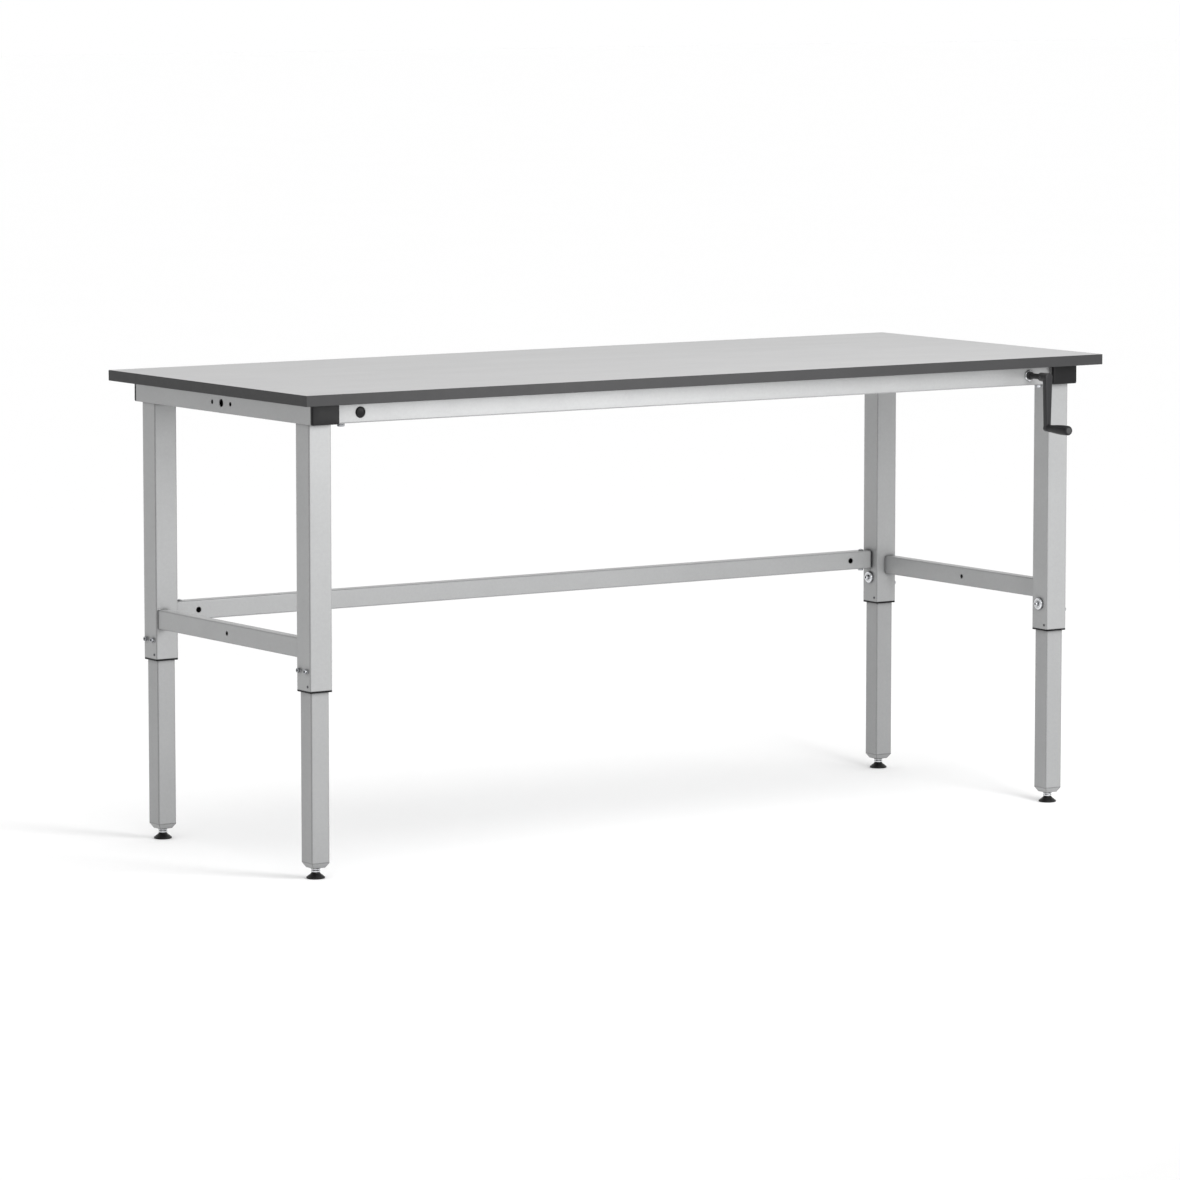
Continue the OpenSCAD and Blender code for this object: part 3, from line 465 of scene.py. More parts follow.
@dataclass(frozen=True)
class Laminate(Finish):
    """Hard laminate sheet with fine specks and a fine pearled surface."""

    colour: Colour = (0.455, 0.455, 0.457)
    speck: Colour = (0.37, 0.37, 0.372)
    roughness: float = 0.42

    def wire(self, w: Wiring, shader: Node) -> None:
        """Two sizes of specks in an even tint, pearled bump and faint smears in the gloss."""
        tint = w.group(uneven_tint, Colour=self.colour, Spread=0.05, Patch=0.4)[0]
        fine = w.group(flakes, Size=0.0012, Share=0.3)[0]
        coarse = w.group(flakes, Size=0.0034, Share=0.08)[0]
        specked = w.mix(w.times(fine, 0.35), tint, self.speck)
        smear = w.times(w.noise(0.22, 5.0, Vector((1.0, 3.2, 1.0))), 0.18)
        w.feeds(shader, Base_Color=w.mix(w.times(coarse, 0.3), specked, scaled(self.colour, 1.18)),
                Roughness=w.plus(smear, self.roughness - 0.06))
        self.raise_height(w, shader, w.group(moulded_grain, Grain=0.0011)[0], 0.00003, 0.5)


@dataclass(frozen=True)
class Plastic(Finish):
    """Moulded or extruded plastic."""

    colour: Colour = (0.05, 0.05, 0.05)
    roughness: float = 0.4
    grain: float = 0.0007
    grain_depth: float = 0.00004
    streaks: bool = False
    scuff: float = 0.25
    specular: float = 0.25

    def wire(self, w: Wiring, shader: Node) -> None:
        """Even colour, eroded grain, pale scuffed edges and dust; drawn streaks if it is extruded."""
        tint = w.group(uneven_tint, Colour=self.colour, Spread=0.16, Patch=0.05)[0]
        scuffed = tuple(part * 1.8 + 0.03 for part in self.colour)
        rubbed = w.group(edge_wear_and_shade, Width=0.0007, Breakup=0.8)[0]
        edged = w.mix(w.times(rubbed, self.scuff), tint, scuffed)
        dust = w.group(settled_dust, Amount=0.1, Patch=0.03)[0]
        height = w.group(moulded_grain, Grain=self.grain)[0]
        if self.streaks:
            along_x = w.noise(0.0012, 2.0, Vector((0.02, 1.0, 1.0)))
            along_y = w.noise(0.0012, 2.0, Vector((1.0, 0.02, 1.0)))
            height = w.plus(w.times(height, 0.4), w.times(along_x, along_y))
        w.feeds(shader, Base_Color=w.mix(dust, edged, tuple(part + 0.06 for part in self.colour)),
                Specular_IOR_Level=self.specular,
                Roughness=w.plus(w.times(w.noise(0.012, 3.0), 0.16), self.roughness - 0.08))
        self.raise_height(w, shader, height, self.grain_depth, 0.6)


@dataclass(frozen=True)
class Metal(Finish):
    """Bare or plated metal with the marks of its making."""

    colour: Colour = (0.7, 0.7, 0.7)
    roughness: float = 0.28
    pitch: float = 0.0005
    mark_depth: float = 0.00001
    stain: float = 0.2

    def wire(self, w: Wiring, shader: Node) -> None:
        """Turned marks in roughness and height, duller patches of plating, and painted shade in the gaps."""
        marks = w.group(tool_marks, Pitch=self.pitch)
        tint = w.group(uneven_tint, Colour=self.colour, Spread=0.14, Patch=0.012)[0]
        patch = w.times(w.noise(0.006, 4.0), self.stain)
        patched = w.mix(patch, tint, scaled(self.colour, 0.62))
        # Painted shade: inner corners and gaps darken towards a nearly black copy of the metal's colour.
        crevice_shade = w.group(painted_crevice_shade, Reach=0.005, Amount=0.9)[0]
        w.feeds(shader, Base_Color=w.mix(crevice_shade, patched, scaled(self.colour, 0.06)), Metallic=1.0,
                Roughness=w.plus(w.times(marks["Shade"], 0.16), self.roughness - 0.06))
        self.raise_height(w, shader, marks["Height"], self.mark_depth, 0.6)


@dataclass(frozen=True)
class Chipboard(Finish):
    """Pressed wood chips, where the board's core shows."""

    light: Colour = (0.56, 0.42, 0.26)
    dark: Colour = (0.3, 0.19, 0.1)
    chip: float = 1 / 420

    def wire(self, w: Wiring, shader: Node) -> None:
        """Chips of random shade, rough and pitted."""
        chips = w.cells(self.chip)
        lot = w.split("Color", chips["Color"])[1]
        w.feeds(shader, Base_Color=w.mix(lot, self.light, self.dark),
                Roughness=w.plus(w.times(chips["Distance"], 0.2), 0.7))
        self.raise_height(w, shader, chips["Distance"], 0.0003, 0.8)


@dataclass(frozen=True)
class Palette:
    """All finishes of the desk."""

    silver: Finish = PowderCoat("silver_coat", "frame_paint", (0.325, 0.328, 0.33), 0.3, 0.42)
    silver_inner: Finish = PowderCoat("silver_coat_inner", "inner_paint", (0.3, 0.303, 0.305), 0.3, 0.45)
    black_coat: Finish = PowderCoat(
        "black_coat", "crank_black", (0.016, 0.016, 0.017), 0.0, 0.34, 0.0009, 0.02, 0.3, 0.3, 0.0)
    laminate: Finish = Laminate("grey_laminate", "laminate")
    band: Finish = Plastic(
        "edge_band_plastic", "edge_band", (0.034, 0.034, 0.035), 0.46, 0.0009, 0.00003, True, 0.3, 0.24)
    cap: Finish = Plastic("cap_plastic_moulded", "cap_plastic", (0.0085, 0.0085, 0.009), 0.42, specular=0.18)
    black: Finish = Plastic(
        "black_plastic_moulded", "black_plastic", (0.0035, 0.0035, 0.004), 0.36, specular=0.14)
    white: Finish = Plastic("white_glide_plastic", "white_plastic", (0.62, 0.62, 0.58), 0.4)
    grip: Finish = Plastic(
        "grip_plastic_moulded", "grip_plastic", (0.009, 0.009, 0.01), 0.44, 0.0005, 0.00005)
    grip_end: Finish = Plastic("grip_disc_plastic", "cap_plastic", (0.05, 0.05, 0.051), 0.5)
    rubber: Finish = Plastic(
        "foot_rubber_moulded", "foot_rubber", (0.005, 0.005, 0.005), 0.4, 0.0004, 0.00005)
    hose: Finish = Plastic("hose_skin", "hose", (0.018, 0.018, 0.02), 0.5, 0.0008, 0.00002)
    zinc: Finish = Metal("bright_zinc", "zinc", (0.74, 0.75, 0.77), 0.24)
    zinc_sheet: Finish = Metal(
        "zinc_sheet_plated", "zinc_sheet", (0.58, 0.59, 0.61), 0.4, 0.004, 0.00001, 0.4)
    dark_steel: Finish = Metal("blackened_steel", "dark_steel", (0.12, 0.12, 0.13), 0.4)
    steel: Finish = Metal("machined_steel", "raw_steel", (0.42, 0.43, 0.45), 0.38)
    chrome: Finish = Metal("hard_chrome", "rod_steel", (0.78, 0.79, 0.81), 0.12, 0.0003, 0.000003, 0.05)
    aluminium: Finish = Metal("sawn_aluminium", "aluminium", (0.58, 0.59, 0.6), 0.42, 0.0016, 0.00002)
    brass: Finish = Metal("machined_brass", "brass", (0.62, 0.47, 0.2), 0.3)
    board: Finish = Chipboard("pressed_chips", "board")

    def all(self) -> dict[str, Finish]:
        """Finish of each of the record's material slots; the first one named for a slot holds."""
        by_slot: dict[str, Finish] = {}
        for finish in vars(self).values():
            by_slot.setdefault(finish.slot, finish)
        return by_slot


# ---------------------------------------------------------------- mesh shop


def circle(radius: float, z: float, steps: int = 48) -> list[Vector]:
    """Ring of points round +Z at a height, starting on +X."""
    turn = 2 * math.pi / steps
    return [Vector((radius * math.cos(turn * i), radius * math.sin(turn * i), z)) for i in range(steps)]


def hexagon_reach(flats: float, angle: float) -> float:
    """Distance from a hexagon's centre to its outline, from its flats and an angle in radians."""
    third = math.pi / 3
    return flats / 2 / math.cos((angle + third / 2) % third - third / 2)


def hexagon_ring(flats: float, z: float, most: float = 1.0, steps: int = 72) -> list[Vector]:
    """Ring on a hexagon's outline, cut back to a circle.

    Args:
        flats: width across the flats.
        z: the ring's height.
        most: radius that the ring never passes, as a chamfer's cone has at this height.
        steps: how many points it has.

    Returns:
        The points.
    """
    points = []
    for i in range(steps):
        angle = 2 * math.pi * i / steps
        reach = min(hexagon_reach(flats, angle), most)
        points.append(Vector((reach * math.cos(angle), reach * math.sin(angle), z)))
    return points


def soft_outline(width: float, depth: float, corner: float, z: float, arc: int = 6) -> list[Vector]:
    """Ring on a rectangle with round corners.

    Args:
        width: size along X.
        depth: size along Y.
        corner: corner radius.
        z: the ring's height.
        arc: steps in each corner.

    Returns:
        The points, counter-clockwise.
    """
    corner = min(corner, width / 2 - 1e-6, depth / 2 - 1e-6)
    points = []
    for quarter in range(4):
        across = width / 2 - corner if quarter in (0, 3) else corner - width / 2
        along = depth / 2 - corner if quarter in (0, 1) else corner - depth / 2
        for step in range(arc + 1):
            angle = math.pi / 2 * (quarter + step / arc)
            points.append(Vector((across + corner * math.cos(angle), along + corner * math.sin(angle), z)))
    return points


def rounded(profile: Profile, radius: float, steps: int = 4) -> list[tuple[float, float]]:
    """Rounds the inner corners of an open profile.

    Args:
        profile: radius and height pairs.
        radius: the rounding, cut back where a side is short.
        steps: points along each rounding.

    Returns:
        The rounded profile.
    """
    made = [profile[0]]
    for before, corner, after in zip(profile, profile[1:], profile[2:]):
        here = Vector(corner)
        back, ahead = Vector(before) - here, Vector(after) - here
        reach = min(radius, back.length * 0.45, ahead.length * 0.45)
        start, end = here + back.normalized() * reach, here + ahead.normalized() * reach
        for step in range(steps + 1):
            t = step / steps
            point = start * (1 - t) ** 2 + here * 2 * t * (1 - t) + end * t**2
            made.append((point.x, point.y))
    made.append(profile[-1])
    return made


AXIS = 0.00001  # radius that stands for a point on the axis, so that rings keep their points


class Blank:
    """A piece under construction, in its own axes with +Z along its length."""

    def __init__(self) -> None:
        """Starts empty."""
        self.mesh = bmesh.new()

    def loft(self, rings: Iterable[Sequence[Vector]], capped: bool = True) -> "Blank":
        """Skins rings that have the same number of points.

        Args:
            rings: the rings in order.
            capped: whether the first and last ring are closed with a face.

        Returns:
            The blank itself.
        """
        rows = [[self.mesh.verts.new(point) for point in ring] for ring in rings]
        for low, high in zip(rows, rows[1:]):
            for i in range(len(low)):
                j = (i + 1) % len(low)
                self.mesh.faces.new((low[i], low[j], high[j], high[i]))
        if capped:
            self.mesh.faces.new(list(reversed(rows[0])))
            self.mesh.faces.new(rows[-1])
        return self

    def moved(self, up: float) -> "Blank":
        """Moves everything built so far along +Z and returns the blank."""
        bmesh.ops.translate(self.mesh, verts=self.mesh.verts, vec=Vector((0, 0, up)))
        return self

    def joined(self, other: "Blank") -> "Blank":
        """Takes over the surfaces of another blank, which is used up, and returns the blank."""
        carrier = bpy.data.meshes.new("carrier")
        other.mesh.to_mesh(carrier)
        other.mesh.free()
        self.mesh.from_mesh(carrier)
        bpy.data.meshes.remove(carrier)
        return self

    def turned(self, profile: Profile, steps: int = 48) -> "Blank":
        """Turns a profile of radius and height pairs round +Z and returns the blank."""
        return self.loft([circle(max(radius, AXIS), z, steps) for radius, z in profile])

    def deliver(self, name: str, body: str, finish: Finish, place: Matrix, node: str = "",
                crease: float = 32.0) -> None:
        """Turns the blank into a piece of the desk.

        Args:
            name: the piece's name.
            body: the moving body that carries it.
            finish: its finish.
            place: where its axes go in the desk's frame.
            node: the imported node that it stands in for, if any.
            crease: edges sharper than this many degrees stay sharp.
        """
        bmesh.ops.recalc_face_normals(self.mesh, faces=self.mesh.faces)
        data = bpy.data.meshes.new(name)
        self.mesh.to_mesh(data)
        self.mesh.free()
        data.shade_smooth()
        data.set_sharp_from_angle(angle=math.radians(crease))
        data.materials.append(finish.material())
        piece = shown(name, data)
        piece.matrix_world = place
        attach(piece, body)
        if node:
            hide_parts(node)


@dataclass(frozen=True)
class Socket:
    """Hexagon socket in a screw's head."""

    flats: float
    depth: float


def screw_head(radius: float, height: float, chamfer: float, socket: Socket, knurled: bool = False) -> Blank:
    """Round screw head that stands on z = 0, with a socket in its top.

    Args:
        radius: the head's radius.
        height: the head's height.
        chamfer: width of the rounded top edge.
        socket: the socket in its top.
        knurled: whether the side has the straight knurl of a cap screw.

    Returns:
        The head's blank.
    """
    steps, knurl, lead = 72, 0.00022, 0.0004

    def side(z: float, cut: float = 0.0) -> list[Vector]:
        """Ring on the side, in and out with the knurl."""
        ring = circle(radius - cut, z, steps)
        if knurled:
            for i, point in enumerate(ring):
                if i % 3 == 0:
                    point.xy *= 1 - knurl / radius
        return ring

    def hole(z: float, grow: float = 0.0) -> list[Vector]:
        """Ring on the socket's wall."""
        return hexagon_ring(socket.flats + grow, z, 1.0, steps)

    rings = [circle(radius * 0.97, 0, steps), side(height * 0.05), side(height * 0.62)]
    rings += [circle(radius - chamfer * (1 - math.cos(a)), height - chamfer * (1 - math.sin(a)), steps)
              for a in (0.0, 0.4, 0.8, 1.2, math.pi / 2)]
    rings += [circle(socket.flats * 0.66, height, steps), hole(height, lead), hole(height - lead)]
    rings += [hole(height - socket.depth), [p * 0.4 for p in hole(0)]]
    rings[-1] = [Vector((p.x, p.y, height - socket.depth - lead)) for p in rings[-1]]
    return Blank().loft(rings)


def hexagon_head(flats: float, height: float, bore: float = 0.0) -> Blank:
    """Hexagon head or nut on z = 0 with chamfered corners.

    Args:
        flats: width across the flats.
        height: the head's height.
        bore: radius of a shallow countersunk dimple in its top; 0 for none.

    Returns:
        The head's blank.
    """
    free, slope, levels = flats / 2 * 0.97, 1.7, (0.0, 0.0004, 0.0008)
    rings = [hexagon_ring(flats, z, free + z * slope) for z in levels]
    rings += [hexagon_ring(flats, height - z, free + z * slope) for z in reversed(levels)]
    inner = max(bore, flats * 0.25)
    rings.append(circle(inner, height, 72))
    rings.append(circle(inner * 0.9, height - (0.0008 if bore else 0.0002), 72))
    return Blank().loft(rings)


def washer(radius: float, bore: float, thick: float) -> Blank:
    """Flat ring on z = 0 with softened edges, from its outer and inner radius and its thickness."""
    soft = thick * 0.25
    profile = [(bore, soft), (bore + soft, 0), (radius - soft, 0), (radius, soft), (radius, thick - soft),
               (radius - soft, thick), (bore + soft, thick), (bore, thick - soft), (bore, soft)]
    return Blank().loft([circle(r, z) for r, z in profile], capped=False)


def threaded(radius: float, pitch: float, depth: float, length: float, starts: int = 1,
             steps: int = 36) -> Blank:
    """Round bar from z = 0 with a screw thread cut in it.

    Args:
        radius: outer radius.
        pitch: distance from ridge to ridge.
        depth: depth of the thread.
        length: the bar's length.
        starts: how many threads run side by side.
        steps: points round the bar.

    Returns:
        The bar's blank.
    """
    rows = max(2, round(length / pitch * 6))
    rings = []
    for row in range(rows + 1):
        z = length * row / rows
        fade = min(1.0, z / pitch, (length - z) / pitch)
        ring = []
        for i in range(steps):
            angle = 2 * math.pi * i / steps
            phase = (z / pitch - starts * i / steps) % 1.0
            cut = depth * (0.5 + 0.5 * max(-1.0, min(1.0, 1.8 * math.cos(2 * math.pi * phase))))
            reach = radius - depth * (1 - fade) - cut * fade
            ring.append(Vector((reach * math.cos(angle), reach * math.sin(angle), z)))
        rings.append(ring)
    return Blank().loft(rings)


# ---------------------------------------------------------------- sub-assemblies


@dataclass
class SubAssembly:
    """What all sub-assemblies share: the desk's finishes."""

    palette: Palette

    def build(self) -> None:
        """Makes the pieces."""
        raise NotImplementedError


@dataclass
class Worktop(SubAssembly):
    """Laminated board with its edge band."""

    edge_round: float = 0.0011
    sheet_round: float = 0.0003

    def build(self) -> None:
        """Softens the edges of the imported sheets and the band."""
        soften("edge_band", self.edge_round)
        soften("top_laminate", self.sheet_round)
        LOG.info("worktop: laminate, edge band and chipboard core")


def soften(node: str, radius: float, angle: float = 40.0) -> None:
    """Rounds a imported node's edges with modifiers; its own mesh stays as it is.

    Args:
        node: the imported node's name.
        radius: the rounding.
        angle: edges sharper than this many degrees are rounded.
    """
    piece = frame["nodes"][node]
    weld = piece.modifiers.new("weld", "WELD")
    weld.merge_threshold = 0.000005
    bevel = piece.modifiers.new("soft_edges", "BEVEL")
    bevel.width = radius
    bevel.segments = 3
    bevel.limit_method = "ANGLE"
    bevel.angle_limit = math.radians(angle)
    bevel.harden_normals = True


@dataclass
class BeamCaps(SubAssembly):
    """Moulded caps on the ends of the two end beams."""

    edge: float = 0.0022
    corner: float = 0.0032
    crown: float = 0.0003
    spigot_inset: float = 0.0026
    spigot_depth: float = 0.014
    arc: int = 6

    def build(self) -> None:
        """Makes one cap for each end of each beam."""
        whole = Box.of("beam_caps")
        for corner in Corner:
            beam = Box.of("end_beam_left" if corner.side < 0 else "end_beam_right")
            end_y = beam.lo.y if corner.row < 0 else beam.hi.y
            thick = abs((whole.lo.y if corner.row < 0 else whole.hi.y) - end_y)
            place = facing(Vector((beam.middle.x, end_y, beam.middle.z)), Vector((0, corner.row, 0)))
            self.shape(beam.size.x, beam.size.z, thick).deliver(
                f"beam_cap_{corner.value}", "frame", self.palette.cap, place, "beam_caps")
        LOG.info("caps: %d on the end beams", len(Corner))

    def shape(self, width: float, height: float, thick: float) -> Blank:
        """One cap, lying on z = 0 with its face up.

        Args:
            width: the beam's width.
            height: the beam's height.
            thick: the cap's thickness.

        Returns:
            The cap's blank.
        """
        inner_w, inner_h = width - 2 * self.spigot_inset, height - 2 * self.spigot_inset
        rings = [soft_outline(inner_w, inner_h, 0.001, z) for z in (-self.spigot_depth, 0.0)]
        rings.append(soft_outline(width, height, self.corner, 0.0))
        for step in range(self.arc + 1):
            angle = math.pi / 2 * step / self.arc
            cut = self.edge * (1 - math.cos(angle))
            z = thick - self.crown - self.edge * (1 - math.sin(angle))
            rings.append(soft_outline(width - 2 * cut, height - 2 * cut, self.corner, z))
        rings.append(soft_outline(width * 0.5, height * 0.5, self.corner, thick))
        return Blank().loft(rings)


@dataclass
class LevellingFeet(SubAssembly):
    """Rubber pads on threaded studs with a hexagon to turn them by."""

    pad_height: float = 0.013
    hexagon: float = 0.017
    hexagon_height: float = 0.0085
    nut_height: float = 0.0032
    gap: float = 0.0009
    stud: float = 0.010
    pitch: float = 0.0015
    thread_depth: float = 0.0008

    def build(self) -> None:
        """Makes a pad and a stud for every leg."""
        for corner in Corner:
            node = f"foot_{corner.value}"
            box = Box.of(node)
            tube = Box.of(f"inner_tube_{corner.value}")
            place = Matrix.Translation(Vector((tube.middle.x, tube.middle.y, box.lo.z)))
            self.pad(box.size.x / 2, self.pad_height).deliver(
                f"foot_pad_{corner.value}", node, self.palette.rubber, place, node)
            self.shank(self.pad_height, box.size.z).deliver(
                f"foot_stud_{corner.value}", node, self.palette.zinc, place, node)
        LOG.info("feet: a pad and a stud on each of %d legs", len(Corner))

    def pad(self, radius: float, height: float) -> Blank:
        """Flared pad with a rounded rim and a stepped collar.

        Args:
            radius: radius of the sole.
            height: height of the pad.

        Returns:
            The pad's blank.
        """
        neck = self.hexagon / 2
        profile = [(0, 0), (radius - 0.0022, 0), (radius, 0.0006), (radius, 0.0034), (radius - 0.002, 0.0042),
                   (neck + 0.0066, 0.0062), (neck + 0.0026, height * 0.68), (neck + 0.0006, height - 0.002),
                   (neck - 0.0002, height), (0, height)]
        return Blank().turned(rounded(profile, 0.0012))

    def shank(self, base: float, top: float) -> Blank:
        """Hexagon and threaded stud above the pad.

        Args:
            base: height of the hexagon's lower face.
            top: height of the stud's end.

        Returns:
            The stud's blank.
        """
        lower = self.hexagon_height - self.nut_height - 2 * self.gap
        blank = hexagon_head(self.hexagon, lower).moved(base)
        nut = hexagon_head(self.hexagon, self.nut_height).moved(base + lower + self.gap)
        rod = threaded(self.stud / 2, self.pitch, self.thread_depth, top - base - 0.001).moved(base + 0.001)
        return blank.joined(nut).joined(rod)


@dataclass
class LegHardware(SubAssembly):
    """Screws and guide discs on the upper leg tubes."""

    disc_thick: float = 0.006
    disc_groove: float = 0.0004
    guide_head: float = 0.0065
    socket: Socket = Socket(0.005, 0.0034)
    chamfer: float = 0.0008
    side_thick: float = 0.0014
    side_bore: float = 0.0031

    def build(self) -> None:
        """Makes the hardware of every leg, on its inner and its outer side."""
        flanges, bolts = Box.of("guide_flanges"), Box.of("guide_bolts")
        sides, small = Box.of("side_bolts"), Box.of("bush_screws")
        front, rear = Box.of("leg_tube_fl").middle.y, Box.of("leg_tube_rl").middle.y
        pitch = (sides.size.y - (rear - front) - sides.size.z) / 2
        head = sides.hi.x - Box.of("leg_tube_fr").hi.x
        for corner in Corner:
            leg = Box.of(f"leg_tube_{corner.value}")
            inward = Vector((-corner.side, 0, 0))
            inner_x, outer_x = (leg.hi.x, leg.lo.x) if corner.side < 0 else (leg.lo.x, leg.hi.x)
            place = facing(Vector((inner_x, leg.middle.y, flanges.middle.z)), inward)
            self.guide_disc(corner, place, flanges.size.z / 2)
            seat = Vector((inner_x, leg.middle.y, bolts.middle.z)) + inward * self.disc_thick
            screw_head(bolts.size.z / 2, self.guide_head, self.chamfer, self.socket, knurled=True).deliver(
                f"guide_screw_{corner.value}", "frame", self.palette.zinc, facing(seat, inward),
                "guide_bolts")
            for which, step in (("a", -1), ("b", 1)):
                spot = Vector((outer_x, leg.middle.y + step * pitch, sides.middle.z))
                self.side_screw(f"{corner.value}_{which}", facing(spot, -inward), sides.size.z / 2, head)
            spot = Vector((leg.lo.x, leg.middle.y + small.middle.y - (front + rear) / 2, small.middle.z))
            screw_head(0.0025, 0.001, 0.0006, Socket(0.0016, 0.0005)).deliver(
                f"bush_screw_{corner.value}", "frame", self.palette.dark_steel, facing(spot, LEFT),
                "bush_screws")
        LOG.info("leg hardware: guide discs, guide screws, side screws and bush screws")

    def guide_disc(self, corner: Corner, place: Matrix, radius: float) -> None:
        """Turned disc with a groove and a raised rim.

        Args:
            corner: the leg it sits on.
            place: its frame on the leg's face.
            radius: the disc's radius.
        """
        top, low = self.disc_thick, self.disc_thick - self.disc_groove
        profile = [(0, 0), (radius - 0.0004, 0), (radius, 0.0004), (radius, top - 0.001),
                   (radius - 0.001, top), (radius * 0.72, top), (radius * 0.70, low), (radius * 0.62, low),
                   (radius * 0.60, top), (0.0042, top), (0, top)]
        Blank().turned(rounded(profile, 0.0003, 3), 72).deliver(
            f"guide_disc_{corner.value}", "frame", self.palette.zinc, place, "guide_flanges")

    def side_screw(self, tag: str, place: Matrix, radius: float, height: float) -> None:
        """Knurled cap screw on a washer.

        Args:
            tag: the leg and which of its two screws.
            place: its frame on the leg's face.
            radius: the washer's radius.
            height: the head's height over the leg.
        """
        washer(radius, self.side_bore, self.side_thick).deliver(
            f"side_washer_{tag}", "frame", self.palette.zinc, place, "side_bolts")
        head = screw_head(radius * 0.94, height - self.side_thick, self.chamfer, self.socket, knurled=True)
        head.deliver(f"side_screw_{tag}", "frame", self.palette.steel, raised(place, self.side_thick),
                     "side_bolts")


@dataclass
class FrameBolts(SubAssembly):
    """Bolts that clamp the beams and the stretcher to their connector tubes."""

    beam_head: float = 0.013
    beam_washer: float = 0.008
    beam_bore: float = 0.0042
    beam_thick: float = 0.0016
    dome: float = 0.00525
    dome_round: float = 0.0024
    dome_socket: Socket = Socket(0.004, 0.0018)

    def build(self) -> None:
        """Makes the bolts under the upper beams and through the stretcher."""
        beam_bolts = Box.of("beam_bolts")
        hang = Box.of("front_beam").lo.z - beam_bolts.lo.z
        for corner in Corner:
            row = Box.of("front_beam" if corner.row < 0 else "rear_beam")
            reach = beam_bolts.hi.x - self.beam_washer
            place = facing(Vector((corner.side * reach, row.middle.y, row.lo.z)), -UP)
            washer(self.beam_washer, self.beam_bore, self.beam_thick).deliver(
                f"beam_washer_{corner.value}", "frame", self.palette.zinc, place, "beam_bolts")
            hexagon_head(self.beam_head, hang - self.beam_thick).deliver(
                f"beam_bolt_{corner.value}", "frame", self.palette.steel, raised(place, self.beam_thick),
                "beam_bolts")
        through, stretcher = Box.of("stretcher_bolts"), Box.of("rear_stretcher")
        reach = through.hi.x - self.dome
        for side, tag in ((-1, "left"), (1, "right")):
            top = facing(Vector((side * reach, stretcher.middle.y, stretcher.hi.z)), UP)
            low = facing(Vector((side * reach, stretcher.middle.y, stretcher.lo.z)), -UP)
            screw_head(self.dome, through.hi.z - stretcher.hi.z, self.dome_round, self.dome_socket).deliver(
                f"stretcher_bolt_{tag}", "frame", self.palette.zinc, top, "stretcher_bolts")
            hexagon_head(0.010, 0.005, 0.003).deliver(
                f"stretcher_nut_{tag}", "frame", self.palette.steel, low, "stretcher_bolts")
        LOG.info("frame bolts: beams and stretcher")


@dataclass
class FrontFace(SubAssembly):
    """Plug and crank bush in the front beam."""

    bush_bore: float = 0.00606
    bush_body: float = 0.008
    bush_flats: float = 0.022
    plug_spigot: float = 0.006

    def build(self) -> None:
        """Makes the plug's cover and the bush's nut."""
        plug, beam = Box.of("beam_plug"), Box.of("front_beam")
        radius, proud = plug.size.z / 2, beam.lo.y - plug.lo.y
        place = facing(Vector((plug.middle.x, beam.lo.y, plug.middle.z)), FORWARD)
        profile = [(0, -self.plug_spigot), (radius - 0.0022, -self.plug_spigot), (radius - 0.002, 0),
                   (radius, 0), (radius, 0.0005), (radius - 0.0008, proud * 0.75), (radius - 0.003, proud),
                   (radius - 0.0036, proud * 0.72), (radius * 0.3, proud * 0.9), (0, proud * 0.92)]
        Blank().turned(rounded(profile, 0.0005), 64).deliver(
            "plug_cover", "frame", self.palette.black, place, "beam_plug")
        self.bush(Box.of("crank_bush"), beam)
        LOG.info("front beam: plug cover and crank bush")

    def bush(self, bush: Box, beam: Box) -> None:
        """Hexagon nut in front of the beam and the bush behind it, round the open shaft hole.

        Args:
            bush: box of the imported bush.
            beam: box of the front beam.
        """
        bore, flats, body = self.bush_bore, self.bush_flats, self.bush_body
        proud, depth = beam.lo.y - bush.lo.y, bush.hi.y - beam.lo.y
        rings = [circle(bore, -depth, 72), circle(body, -depth, 72), circle(body, 0.0, 72),
                 hexagon_ring(flats, 0.0)]
        for z in (0.0009, 0.0005, 0.0):
            rings.append(hexagon_ring(flats, proud - z, flats / 2 * 0.96 + z * 1.6))
        for radius, z in ((bore + 0.0018, proud), (bore + 0.001, proud - 0.0005), (bore, proud - 0.0006),
                          (bore, -depth)):
            rings.append(circle(radius, z, 72))
        place = facing(Vector((bush.middle.x, beam.lo.y, bush.middle.z)), FORWARD)
        Blank().loft(rings, capped=False).deliver(
            "crank_bush_nut", "frame", self.palette.zinc, place, "crank_bush")


